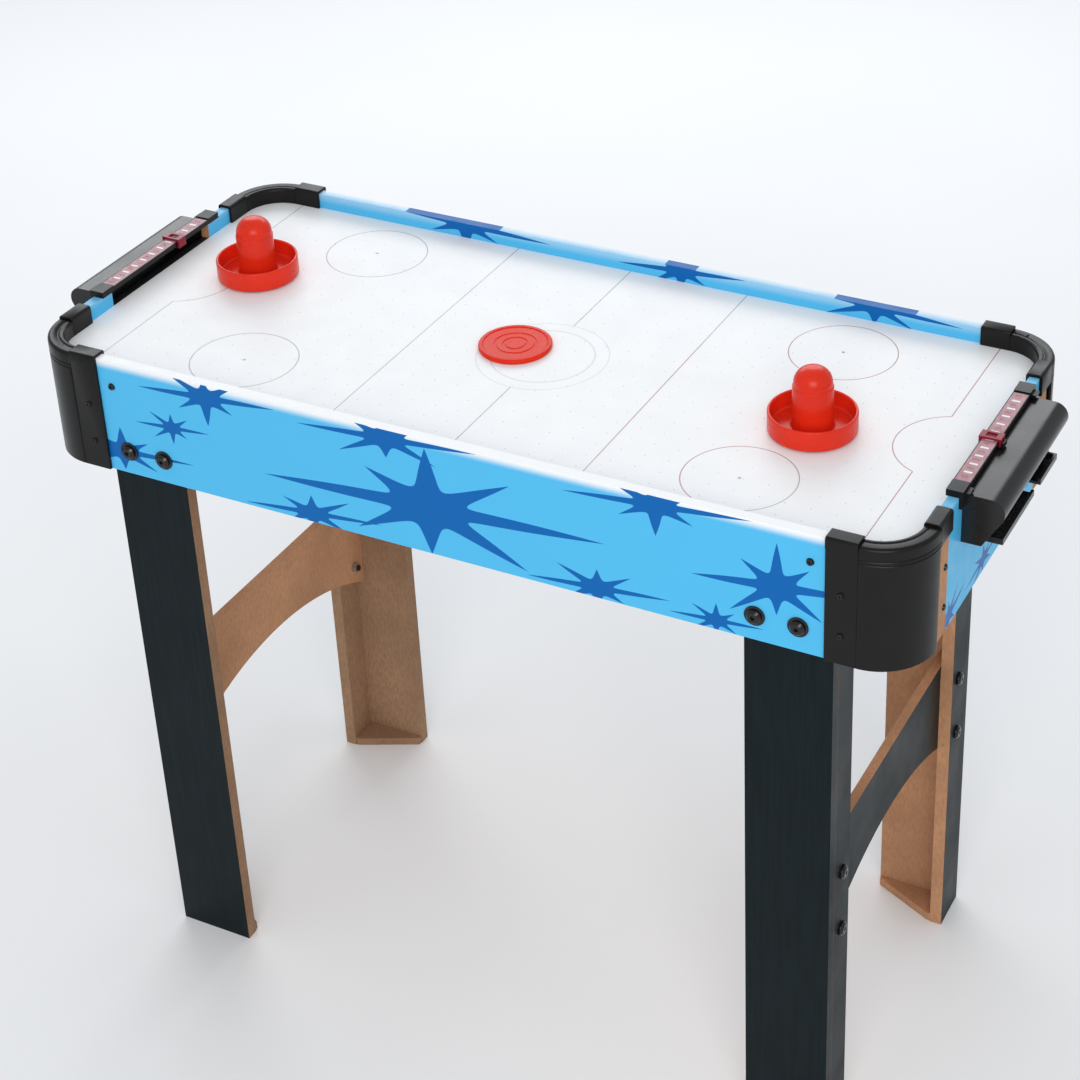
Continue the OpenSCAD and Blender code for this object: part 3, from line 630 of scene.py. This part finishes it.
def finish(name):
    """Each finish is made once, the first time a piece asks for it."""
    if name not in _made:
        tint, fade_depth = colours(), sizes().fade_depth
        makers = {
            "front_film": lambda: printed_film("front_film", 0, FRONT_STARS, 1.0, fade_depth, top_white=1.0),
            "back_film": lambda: printed_film("back_film", 0, BACK_STARS, 0.28, fade_depth, 0.5),
            "end_film": lambda: printed_film("end_film", 1, END_STARS, 0.12, 0.6 * fade_depth),
            # Black on the goal notch's upward faces is painted shade of the goal mouth.
            "notch_shade_black": lambda: moulded("notch_painted_shade", (0.010, 0.010, 0.010), 0.45, 0.6),
            "raw": lambda: raw_board("raw_fibreboard", tint.raw_brown),
            # A darker copy of the raw board for the left legs, as painted shade.
            "raw_dull": lambda: raw_board("raw_fibreboard_painted_shade", tint.raw_dull),
            "leg": leg_film,
            "field": field_lacquer,
            "softwood": softwood,
            "moulding": lambda: moulded(
                "black_satin_moulding", tint.moulding_black, 0.24, 0.38, Specular_IOR_Level=0.2
            ),
            "goal": lambda: moulded(
                "black_gloss_moulding", tint.moulding_black, 0.20, 0.32, 1800.0, 0.006 * MM,
                Specular_IOR_Level=0.42,
            ),
            "red": lambda: red_plastic("red_toy_plastic", tint.toy_red),
            "puck": lambda: red_plastic("red_puck_plastic", tint.toy_red, 0.10),
            "marker": lambda: red_plastic("dark_red_marker_plastic", tint.marker_red),
            "strip": score_print,
            "strip_white": lambda: moulded("strip_white_ink", (0.85, 0.83, 0.83), 0.35, 0.5),
            "strip_digits": lambda: moulded("strip_digit_ink", (0.33, 0.03, 0.05), 0.4, 0.5),
            "black_steel": lambda: metal(
                "black_oxide_steel", (0.010, 0.009, 0.009), 0.10, 0.20, metallic=0.2
            ),
            "zinc": lambda: metal("zinc_plated_steel", (0.56, 0.57, 0.60), 0.24, 0.42),
            "motor": lambda: metal("drawn_motor_can", (0.5, 0.51, 0.54), 0.26, 0.4, (1.0, 1.0, 0.05)),
            "nickel": lambda: metal("nickel_contact", (0.66, 0.64, 0.6), 0.16, 0.3),
            "cells": lambda: metal("cell_jacket_foil", (0.62, 0.24, 0.04), 0.28, 0.44, (0.1, 1.0, 1.0), 0.6),
            "white": lambda: moulded("white_fan_plastic", (0.74, 0.75, 0.74), 0.32, 0.45),
            "box": lambda: moulded("black_box_plastic", tint.moulding_black, 0.40, 0.58, 1100.0),
            "rocker": lambda: moulded("black_rocker_plastic", (0.012, 0.012, 0.012), 0.18, 0.3),
            "wire": lambda: moulded("red_wire_sleeve", (0.5, 0.02, 0.015), 0.4, 0.55),
            "felt": lambda: fibrous("grey_needle_felt", (0.10, 0.10, 0.11), 0.5),
        }
        _made[name] = makers[name]()
    return _made[name]


def finished_copy(node, name, material, slot, body, edge, segments=2, corner=30):
    """A frame node's shape with its edges rounded, in its finish."""
    piece = soften(merged_copy(node, name), edge, segments, corner)
    return finish_piece(piece, finish(material), slot, body, node)


# ---- one operator for each piece or group of like pieces ----
class HOCKEY_OT_panels(bpy.types.Operator):
    """Print the four panels and leave their cut edges bare"""

    bl_idname = "hockey.panels"
    bl_label = "Printed panels"

    def execute(self, context):
        for name, side in SIDES:
            node = f"{name}_panel"
            panel = merged_copy(node, f"{name}_panel_board")
            paint(panel, finish(f"{name}_film"), finish("raw"), lambda n, c: n.z < -0.5 or abs(n.x) > 0.5)
            self.wrap_up(panel, node)
        margin = sizes().end_margin
        for name, end in ENDS:
            node = f"{name}_end_panel"
            panel = merged_copy(node, f"{name}_end_panel_board")
            for side in (FRONT, BACK):
                cut_at(panel, (0, side * margin, 0), (0, 1, 0))
            paint(
                panel, finish("end_film"), finish("raw"),
                lambda n, c: n.z < -0.5 or abs(n.y) > 0.5 or abs(c.y) > margin,
            )
            # The upward faces of the goal notch, below the panel's top, are painted black as shade in the
            # goal mouth.
            panel.data.materials.append(finish("notch_shade_black"))
            for face in panel.data.polygons:
                if face.normal.z > 0.5 and face.center.z < PANEL_TOP - MM:
                    face.material_index = 2
            self.wrap_up(panel, node)
        return {"FINISHED"}

    def wrap_up(self, panel, node):
        soften(panel, sizes().board_edge)
        finish_piece(panel, None, "printed_board", "table", node)


class HOCKEY_OT_field(bpy.types.Operator):
    """Drill the grid of air holes through the lacquered playfield"""

    bl_idname = "hockey.field"
    bl_label = "Playfield"

    def execute(self, context):
        size = sizes()
        field = merged_copy("playfield", "playfield_drilled")
        half = Vector((FIELD_HIGH.x, FIELD_HIGH.y))
        count = [int((half.x - 8 * MM) / size.hole_step_x), int((half.y - 8 * MM) / size.hole_step_y)]
        middle = (FIELD_TOP + FIELD_LOW.z) / 2
        start = Vector((-count[0] * size.hole_step_x, -count[1] * size.hole_step_y, middle))
        deselect()
        bpy.ops.mesh.primitive_cylinder_add(
            vertices=10, radius=size.hole_radius, depth=3 * (FIELD_TOP - FIELD_LOW.z), location=start
        )
        drill = new_piece("drill")
        steps = ((size.hole_step_x, 0, 0), (0, size.hole_step_y, 0))
        for number, step in zip(count, steps):
            apply_modifier(
                drill, "ARRAY", count=2 * number + 1, use_relative_offset=False,
                use_constant_offset=True, constant_offset_displace=step,
            )
        self.clear_corners(drill, half)
        apply_modifier(field, "BOOLEAN", operation="DIFFERENCE", object=drill, solver="EXACT")
        bpy.data.objects.remove(drill)
        inset = half - Vector((MM, MM))
        paint(
            field, finish("field"), finish("raw"),
            lambda n, c: n.z < -0.5 or (abs(n.z) < 0.5 and self.rim(c, inset)),
        )
        finish_piece(field, None, "playfield", "table", "playfield")
        return {"FINISHED"}

    def rim(self, centre, inset):
        """True on the board's outer edge, and on the side faces near each corner."""
        near = 26 * MM
        beyond = abs(centre.x) > inset.x or abs(centre.y) > inset.y
        return beyond or Vector((abs(centre.x) - inset.x, abs(centre.y) - inset.y)).length < near

    def clear_corners(self, drill, half):
        """No holes under the corner rails."""
        reach, clear = 46 * MM, 36 * MM
        edit_all(drill)
        bpy.ops.mesh.select_all(action="DESELECT")
        object_mode()
        for vertex in drill.data.vertices:
            off = Vector((abs(vertex.co.x) - half.x + reach, abs(vertex.co.y) - half.y + reach))
            vertex.select = off.x > 0 and off.y > 0 and off.length > clear
        bpy.ops.object.mode_set(mode="EDIT")
        bpy.ops.mesh.select_linked()
        bpy.ops.mesh.delete(type="VERT")
        object_mode()


class HOCKEY_OT_corners(bpy.types.Operator):
    """Mould the rounded corners with their rails, grooves and clips"""

    bl_idname = "hockey.corners"
    bl_label = "Corner mouldings"

    def execute(self, context):
        rail = self.rail()
        clips = [self.long_clip(), self.end_clip()]
        first = joined("corner_moulding", [rail, *clips])
        for side_name, side, end_name, end in CORNERS:
            name = f"{side_name}_{end_name}_corner"
            corner = placed_copy(first, f"{name}_moulding", mirrored(end, -side))
            finish_piece(corner, finish("moulding"), "black_moulding", "table", name)
        bpy.data.objects.remove(first)
        return {"FINISHED"}

    def rail(self):
        """The rounded wall and shoulder: a flat outline spun through a quarter turn."""
        outer, wall, top = CORNER_RADIUS, 2.5 * MM, CORNER_HIGH.z - 2.5 * MM
        inner = outer - PANEL_THICK - 6 * MM
        soft, bead = 3 * MM, 0.9 * MM
        low, field = CORNER_LOW.z, FIELD_TOP
        bead_z = top - sizes().bead_drop
        outline = [(outer - wall, low), (outer - 0.4 * MM, low), (outer, low + 0.4 * MM)]
        for z in (bead_z, bead_z + 3.4 * MM):
            outline += [(outer, z - bead), (outer - 0.8 * MM, z), (outer, z + bead)]
        outline += arc((outer - soft, top - soft), soft, 0, 90)
        outline += [(inner + 6.5 * MM, top), (inner + 5.5 * MM, top - 0.8 * MM), (inner + 4.5 * MM, top)]
        outline += arc((inner + soft, top - soft), soft, 90, 180)
        outline += [(inner, field), (inner + wall, field), (inner + wall, top - soft - wall)]
        outline += [(outer - wall, top - soft - wall)]
        centre = Vector((CORNER_HIGH.x - outer, CORNER_LOW.y + outer + CLIP_BAND, 0))
        rail = shaped("rail", outline, lambda r, z: Vector((centre.x, centre.y - r, z)))
        edit_all(rail)
        bpy.ops.mesh.spin(steps=36, angle=-math.pi / 2, center=centre, axis=(0, 0, 1))
        bpy.ops.mesh.select_all(action="SELECT")
        bpy.ops.mesh.remove_doubles(threshold=WELD)
        object_mode()
        self.close_ends(rail)
        return soften(face_out(rail), 0.5 * MM, 2, 60)

    def close_ends(self, rail):
        """The spun wall is open where it starts and stops."""
        edit_all(rail)
        bpy.ops.mesh.select_all(action="DESELECT")
        bpy.ops.mesh.select_mode(type="EDGE")
        bpy.ops.mesh.select_non_manifold(extend=False)
        bpy.ops.mesh.edge_face_add()
        bpy.ops.mesh.select_all(action="SELECT")
        object_mode()

    def clip(self, name, outline, place, along):
        clip = shaped(name, outline, place)
        edit_all(clip)
        bpy.ops.mesh.extrude_region_move(TRANSFORM_OT_translate={"value": along})
        bpy.ops.mesh.select_all(action="SELECT")
        object_mode()
        return soften(face_out(clip), 0.6 * MM, 3, 60)

    def long_clip(self):
        """Over the long panel: full-height outer leaf with a thicker, rounded band at its top."""
        leaf, band, band_drop, round_r = 3 * MM, CLIP_BAND, 11 * MM, 2.4 * MM
        inner = -PANEL_THICK - leaf
        low, top, field = CORNER_LOW.z, CORNER_HIGH.z, FIELD_TOP
        outline = [(leaf, low), (leaf, top - band_drop), (leaf + band, top - band_drop + band)]
        outline += arc((leaf + band - round_r, top - round_r), round_r, 0, 90)
        outline += arc((inner + round_r, top - round_r), round_r, 90, 180)
        outline += [(inner, field), (inner + leaf, field), (inner + leaf, PANEL_TOP)]
        outline += [(0, PANEL_TOP), (0, low)]
        start = CORNER_LOW.x
        run = CORNER_HIGH.x - CORNER_RADIUS - start
        return self.clip(
            "long_clip", outline, lambda out, z: Vector((start, -SIDE_FACE - out, z)), (run, 0, 0)
        )

    def end_clip(self):
        """Over the end panel: a short, rounded outer lip, so the panel's bare margin shows below it."""
        leaf, lip, round_r = 3 * MM, 20 * MM, 3 * MM
        inner = -PANEL_THICK - leaf
        top, field = CORNER_HIGH.z, FIELD_TOP
        outline = arc((leaf - MM, top - lip + MM), MM, -90, 0, 3)
        outline += arc((leaf - round_r, top - round_r), round_r, 0, 90, 8)
        outline += arc((inner + round_r, top - round_r), round_r, 90, 180, 8)
        outline += [(inner, field), (inner + leaf, field), (inner + leaf, PANEL_TOP)]
        outline += [(0, PANEL_TOP), (0, top - lip)]
        start = CORNER_HIGH.y
        run = CORNER_LOW.y + CORNER_RADIUS + CLIP_BAND - start
        return self.clip("end_clip", outline, lambda out, z: Vector((END_FACE + out, start, z)), (0, run, 0))


class HOCKEY_OT_goals(bpy.types.Operator):
    """Finish the goal boxes, score bars, number strips and markers"""

    bl_idname = "hockey.goals"
    bl_label = "Goals and scores"

    def execute(self, context):
        for name, end in ENDS:
            marker = f"{name}_marker"
            rows = (
                ("goal_box", "goal", "black_gloss", "table", sizes().moulded_edge, 3, 35),
                ("score_bar", "moulding", "black_moulding", "table", 0.5 * MM, 2, 35),
                ("marker", "marker", "marker_plastic", marker, 0.3 * MM, 2, 30),
                ("marker_clip", "moulding", "black_moulding", marker, 0.4 * MM, 2, 30),
            )
            for kind, *rest in rows:
                finished_copy(f"{name}_{kind}", f"{name}_{kind}_moulding", *rest)
            self.number_strip(name, end)
        return {"FINISHED"}

    def number_strip(self, name, end):
        """The numbers 0 to 10 on pink squares, with white blocks between them."""
        node = f"{name}_number_strip"
        low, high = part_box(node)
        finished_copy(node, f"{node}_print", "strip", "number_strip", "table", 0.15 * MM, 1)
        numbers = 11
        step = (high.y - low.y) / numbers
        middle = (low.x + high.x) / 2
        digits, blocks = [], []
        for number in range(numbers):
            y = end * (low.y + (number + 0.5) * step)
            bpy.ops.object.text_add(location=(0, 0, 0))
            text = number_text(str(number), 8 * MM)
            text.data.transform(Matrix.Rotation(end * math.pi / 2, 4, "Z"))
            text.data.transform(Matrix.Translation((middle, y, high.z + 0.02 * MM)))
            digits.append(text)
            if number:
                deselect()
                at = (middle, y - end * step / 2, high.z + 0.04 * MM)
                bpy.ops.mesh.primitive_cube_add(size=1, location=at)
                block = bpy.context.object
                block.scale = (7 * MM, 2.4 * MM, 0.16 * MM)
                blocks.append(new_piece("block"))
        printed = joined(f"{name}_strip_digits", digits)
        finish_piece(printed, finish("strip_digits"), "number_strip", "table")
        white = joined(f"{name}_strip_blocks", blocks)
        soften(white, 0.05 * MM, 1)
        finish_piece(white, finish("strip_white"), "number_strip", "table")


def number_text(body, height):
    """The text that was just added, as a thin mesh centred on the origin."""
    text = bpy.context.object
    text.data.body = body
    text.data.size = height
    text.data.extrude = 0.03 * MM
    text.data.align_x = "CENTER"
    text.data.align_y = "CENTER"
    pick(text)
    bpy.ops.object.convert(target="MESH")
    return bpy.context.object


class HOCKEY_OT_legs(bpy.types.Operator):
    """Finish the legs, feet and braces: dark film outside, bare board inside and on the cut edges"""

    bl_idname = "hockey.legs"
    bl_label = "Legs and braces"

    def execute(self, context):
        for side_name, side, end_name, end in CORNERS:
            corner = f"{side_name}_{end_name}"
            # The left legs and feet get the darker raw board, which is painted shade.
            raw = "raw" if end == RIGHT else "raw_dull"
            self.board(f"{corner}_leg", raw, lambda n, c: n.y * side > 0.5 or n.x * end > 0.5)
            self.board(f"{corner}_leg_side", raw, lambda n, c: n.x * end > 0.5)
            self.board(f"{corner}_foot", raw, lambda n, c: False, "raw_board")
        for name, end in ENDS:
            self.board(f"{name}_brace", "raw", lambda n, c: n.x * end > 0.5)
        return {"FINISHED"}

    def board(self, node, raw, filmed, slot="black_board"):
        board = merged_copy(node, f"{node}_board")
        paint(board, finish(raw), finish("leg"), filmed)
        soften(board, sizes().board_edge)
        finish_piece(board, None, slot, "table", node)


class HOCKEY_OT_fasteners(bpy.types.Operator):
    """Round the bolts, washers, nuts and screws"""

    bl_idname = "hockey.fasteners"
    bl_label = "Bolts and screws"

    def execute(self, context):
        black = ("panel_bolts", "panel_washers", "brace_bolts", "moulding_screws", "panel_screws")
        plated = ("panel_nuts", "brace_nuts", "floor_screws")
        for node in black + plated:
            name, slot = ("black_steel", "black_steel") if node in black else ("zinc", "zinc_steel")
            finished_copy(node, f"{node}_set", name, slot, "table", sizes().metal_edge, 2, 28)
        return {"FINISHED"}


class HOCKEY_OT_strikers(bpy.types.Operator):
    """Turn the two strikers and their felt pads"""

    bl_idname = "hockey.strikers"
    bl_label = "Strikers"

    def execute(self, context):
        for name, end in ENDS:
            low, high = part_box(f"{name}_striker")
            at = Vector(((low.x + high.x) / 2, (low.y + high.y) / 2, low.z))
            outline = self.outline((high.x - low.x) / 2, high.z - low.z)
            striker = turned(f"{name}_striker_turned", outline, at)
            smooth(striker, 50)
            finish_piece(striker, finish("red"), "red_plastic", f"{name}_striker", f"{name}_striker")
            felt_low, felt_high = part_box(f"{name}_felt")
            radius = (felt_high.x - felt_low.x) / 2
            thick, hole = felt_high.z - felt_low.z, 12 * MM
            outline = [(hole, 0), (radius - 0.4 * MM, 0), (radius, 0.4 * MM)]
            outline += [(radius - 0.2 * MM, thick), (hole, thick)]
            pad = turned(f"{name}_felt_pad", outline, Vector((at.x, at.y, felt_low.z)), ring=True)
            smooth(pad, 50)
            finish_piece(pad, finish("felt"), "felt", f"{name}_striker", f"{name}_felt")
        return {"FINISHED"}

    def outline(self, radius, tall):
        """Half outline of a striker: dish, rounded rim and a knob with a soft shoulder."""
        wall, floor, rim = 2.5 * MM, 4 * MM, 19 * MM
        knob, step, cap, soft = 16.5 * MM, 0.8 * MM, 16.5 * MM, 14 * MM
        fillet, heel = 2 * MM, 2.4 * MM
        foot = knob + step
        outline = [(radius - 6 * MM, 0)]
        outline += arc((radius - heel, heel), heel, -90, 0, 6)
        outline += arc((radius - wall / 2, rim - wall / 2), wall / 2, 0, 180, 8)
        inner = radius - wall
        outline += arc((inner - fillet, floor + fillet), fillet, 0, -90, 5)
        outline += arc((foot + fillet, floor + fillet), fillet, -90, -180, 5)
        outline += arc((foot - 0.8 * MM, tall - cap - 0.8 * MM), 0.8 * MM, 0, 80, 4)
        outline += [(knob, tall - cap + 0.5 * MM)]
        outline += arc((knob - soft, tall - soft), soft, 0, 90, 16)
        return outline + [(1 * MM, tall)]


class HOCKEY_OT_puck(bpy.types.Operator):
    """Turn the puck, with its raised rim and rings"""

    bl_idname = "hockey.puck"
    bl_label = "Puck"

    def execute(self, context):
        low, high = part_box("puck")
        radius, tall = (high.x - low.x) / 2, high.z - low.z
        at = Vector(((low.x + high.x) / 2, (low.y + high.y) / 2, low.z))
        soft, rim, dip, ring = 1.5 * MM, 4 * MM, 0.8 * MM, 0.6 * MM
        floor = tall - dip
        outline = [(radius - 6 * MM, 0), (radius - soft, 0)]
        outline += arc((radius - soft, soft), soft, -90, 0, 4)[1:]
        outline += arc((radius - soft, tall - soft), soft, 0, 90, 5)
        outline += [(radius - rim + 0.4 * MM, tall), (radius - rim, tall - 0.3 * MM)]
        outline += [(radius - rim - 0.4 * MM, floor)]
        for inner, outer in ((17, 19.2), (9, 11.2)):
            outline += [(outer * MM + 0.3 * MM, floor), (outer * MM, floor - ring)]
            outline += [(inner * MM, floor - ring), (inner * MM - 0.3 * MM, floor)]
        outline += [(2 * MM, floor)]
        puck = turned("puck_turned", outline, at)
        smooth(puck, 30)
        finish_piece(puck, finish("puck"), "red_plastic", "puck", "puck")
        return {"FINISHED"}


class HOCKEY_OT_works(bpy.types.Operator):
    """Finish the air chamber, fan, battery box and switch under the table"""

    bl_idname = "hockey.works"
    bl_label = "Fan, batteries and switch"

    def execute(self, context):
        rows = (
            ("long_battens", "softwood", "softwood", "table", 0.4),
            ("end_battens", "softwood", "softwood", "table", 0.4),
            ("chamber_floor", "raw", "raw_board", "table", 0.3),
            ("fan_housing", "box", "black_plastic", "table", 0.4),
            ("intake_grille", "box", "black_plastic", "table", 0.3),
            ("fan_motor", "motor", "motor_can", "table", 0.4),
            ("impeller", "white", "white_plastic", "impeller", 0.2),
            ("battery_box", "box", "black_plastic", "table", 0.4),
            ("battery_cover", "box", "black_plastic", "battery_cover", 0.3),
            ("battery_cells", "cells", "cell_jacket", "table", 0.5),
            ("switch_body", "box", "black_plastic", "table", 0.4),
            ("switch_rocker", "rocker", "rocker", "switch_rocker", 0.3),
        )
        for node, material, slot, body, edge in rows:
            finished_copy(node, f"{node}_finished", material, slot, body, edge * MM, 2, 32)
        self.contacts()
        self.wires()
        return {"FINISHED"}

    def contacts(self):
        """Nickel plates with a coil spring for each cell."""
        low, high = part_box("battery_contacts")
        cell_low, cell_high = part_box("battery_cells")
        parts = []
        rows, thick = 3, 0.8 * MM
        pitch = (cell_high.y - cell_low.y - (cell_high.z - cell_low.z)) / (rows - 1)
        middle_y, middle_z = (low.y + high.y) / 2, (low.z + high.z) / 2
        for row in range(rows):
            y = middle_y + (row - 1) * pitch
            for x, toward, gap_end in ((low.x, 1, cell_low.x), (high.x, -1, cell_high.x)):
                deselect()
                bpy.ops.mesh.primitive_cube_add(size=1, location=(x + toward * thick / 2, y, middle_z))
                plate = bpy.context.object
                plate.scale = (thick, 10 * MM, 11 * MM)
                plate = new_piece("plate")
                soften(plate, 0.2 * MM, 2)
                parts.append(plate)
                face = x + toward * thick
                parts.append(self.spring(Vector((face, y, middle_z)), gap_end - face))
        contacts = joined("battery_contacts_plated", parts)
        finish_piece(contacts, finish("nickel"), "contact_plate", "table", "battery_contacts")

    def spring(self, start, run):
        """A short coil spring along X: a wire along points that go round and forward."""
        turns, steps, wire, radius = 3, 14, 0.35 * MM, 2.6 * MM
        points = []
        for n in range(turns * steps + 1):
            angle = math.tau * n / steps
            ahead = run * n / (turns * steps)
            points.append(start + Vector((ahead, radius * math.cos(angle), radius * math.sin(angle))))
        return wire_mesh("spring", points, wire, 6)

    def wires(self):
        """Two wires from the fan to the batteries and two from there to the switch."""
        low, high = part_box("wiring")
        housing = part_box("fan_housing")[1].x - 9 * MM
        box_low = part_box("battery_box")[0]
        radius = 0.9 * MM
        parts = []
        top = high.z - radius
        for y in (-8 * MM, 8 * MM):
            sag = -4 * MM
            a, b = Vector((housing, y, top)), Vector((box_low.x + 9 * MM, y, top))
            points = [a.lerp(b, t / 8) + Vector((0, 0, sag * math.sin(math.pi * t / 8))) for t in range(9)]
            parts.append(wire_mesh("wire", points, radius, 10))
        for x in (high.x - radius, high.x - radius - 6 * MM):
            start = Vector((x, 27 * MM, top - 6 * MM))
            stop = Vector((x, high.y, low.z + radius))
            bend = 10 * MM
            corner = Vector((x, stop.y - 12 * MM, start.z))
            points = [start, start.lerp(corner, 0.33), start.lerp(corner, 0.66)]
            drop = stop.z - start.z
            for n in range(9):
                t = n / 8
                ease = t * t * (3 - 2 * t)
                points.append(Vector((x, corner.y - bend + 2 * bend * t, start.z + drop * ease)))
            parts.append(wire_mesh("wire", points + [stop], radius, 10))
        wires = joined("wiring_run", parts)
        smooth(wires, 60)
        finish_piece(wires, finish("wire"), "wire", "table", "wiring")


def wire_mesh(name, points, radius, sides):
    """A round wire along points, as a mesh."""
    curve = bpy.data.curves.new(name, "CURVE")
    curve.dimensions = "3D"
    curve.bevel_depth = radius
    curve.bevel_resolution = max(0, sides // 2 - 2)
    curve.use_fill_caps = True
    spline = curve.splines.new("POLY")
    spline.points.add(len(points) - 1)
    for spot, point in zip(spline.points, points):
        spot.co = (*point, 1)
    obj = bpy.data.objects.new(name, curve)
    bpy.context.scene.collection.objects.link(obj)
    pick(obj)
    bpy.ops.object.convert(target="MESH")
    return bpy.context.object


class HOCKEY_OT_stage(bpy.types.Operator):
    """Add the pale floor, the lights and the camera"""

    bl_idname = "hockey.stage"
    bl_label = "Floor, lights and camera"

    def execute(self, context):
        self.floor()
        self.lights(context.scene)
        self.camera(context.scene)
        context.scene.view_settings.view_transform = "Standard"
        return {"FINISHED"}

    def floor(self):
        deselect()
        bpy.ops.mesh.primitive_circle_add(
            vertices=64, radius=9, fill_type="NGON", location=(0, 0, CAD_BOX[0].z)
        )
        pale = (0.88, 0.885, 0.89)
        floor = new_piece("studio_floor")
        paper = Finish("pale_studio_paper", pale, 0.8, Specular_IOR_Level=0.2)
        shade_map = paper.spread(paper.noise(1.2, 3.0), 0.3, 0.7)
        paper.colour(paper.mix(shade_map, pale, (0.90, 0.905, 0.91)))
        floor.data.materials.append(paper.bump(paper.noise(300.0, 3.0), 0.1 * MM, 0.2).material)

    def lights(self, scene):
        world = bpy.data.worlds.new("soft_room")
        world.use_nodes = True
        background = world.node_tree.nodes["Background"]
        background.inputs["Color"].default_value = (0.93, 0.96, 1.0, 1)
        background.inputs["Strength"].default_value = 0.63
        scene.world = world
        rows = (
            ("key_softbox", (1.3, -2.6, 2.0), (2.0, 1.6), 44.0, (1.0, 0.99, 0.97)),
            ("back_softbox", (-1.25, 2.45, 2.1), (3.4, 1.3), 44.0, (0.96, 0.98, 1.0)),
        )
        for name, place, span, power, tint in rows:
            data = bpy.data.lights.new(name, "AREA")
            data.shape = "RECTANGLE"
            data.size, data.size_y = span
            data.energy = power
            data.color = tint
            light = bpy.data.objects.new(name, data)
            scene.collection.objects.link(light)
            light.location = place
            aim = Vector((0, 0, FIELD_TOP * 0.8)) - light.location
            light.rotation_euler = aim.to_track_quat("-Z", "Y").to_euler()

    def camera(self, scene):
        data = bpy.data.cameras.new("camera")
        camera = bpy.data.objects.new("camera", data)
        scene.collection.objects.link(camera)
        scene.camera = camera
        data.lens = 79.8
        data.shift_x = -0.0926
        data.shift_y = -0.1852
        turn, rise, roll = math.radians(26.88), math.radians(29.21), math.radians(-1.61)
        back = Vector((math.sin(turn) * math.cos(rise), -math.cos(turn) * math.cos(rise), math.sin(rise)))
        right = (-back).cross(Vector((0, 0, 1))).normalized()
        up = right.cross(-back)
        across = right * math.cos(roll) + up * math.sin(roll)
        upward = up * math.cos(roll) - right * math.sin(roll)
        axes = Matrix((across, upward, back)).transposed()
        camera.matrix_world = Matrix.Translation((0.9033, -1.5924, 1.6738)) @ axes.to_4x4()


class HOCKEY_PT_panel(bpy.types.Panel):
    """Lists the steps that build the table"""

    bl_idname = "HOCKEY_PT_panel"
    bl_label = "Air Hockey"
    bl_space_type = "VIEW_3D"
    bl_region_type = "UI"
    bl_category = "Air Hockey"

    def draw(self, context):
        for operator in STEPS:
            self.layout.operator(operator.bl_idname)
        for group in (context.scene.hockey_sizes, context.scene.hockey_colours):
            for key in type(group).__annotations__:
                self.layout.prop(group, key)


STEPS = (
    HOCKEY_OT_stage,
    HOCKEY_OT_panels,
    HOCKEY_OT_field,
    HOCKEY_OT_corners,
    HOCKEY_OT_goals,
    HOCKEY_OT_legs,
    HOCKEY_OT_fasteners,
    HOCKEY_OT_strikers,
    HOCKEY_OT_puck,
    HOCKEY_OT_works,
)
CLASSES = (HockeySizes, HockeyColours, *STEPS, HOCKEY_PT_panel)


def register():
    for cls in CLASSES:
        bpy.utils.register_class(cls)
    bpy.types.Scene.hockey_sizes = bpy.props.PointerProperty(type=HockeySizes)
    bpy.types.Scene.hockey_colours = bpy.props.PointerProperty(type=HockeyColours)


def unregister():
    del bpy.types.Scene.hockey_colours
    del bpy.types.Scene.hockey_sizes
    for cls in reversed(CLASSES):
        bpy.utils.unregister_class(cls)


def main():
    register()
    for operator in STEPS:
        group, name = operator.bl_idname.split(".")
        getattr(getattr(bpy.ops, group), name)()
    deselect()


if __name__ == "__main__":
    main()
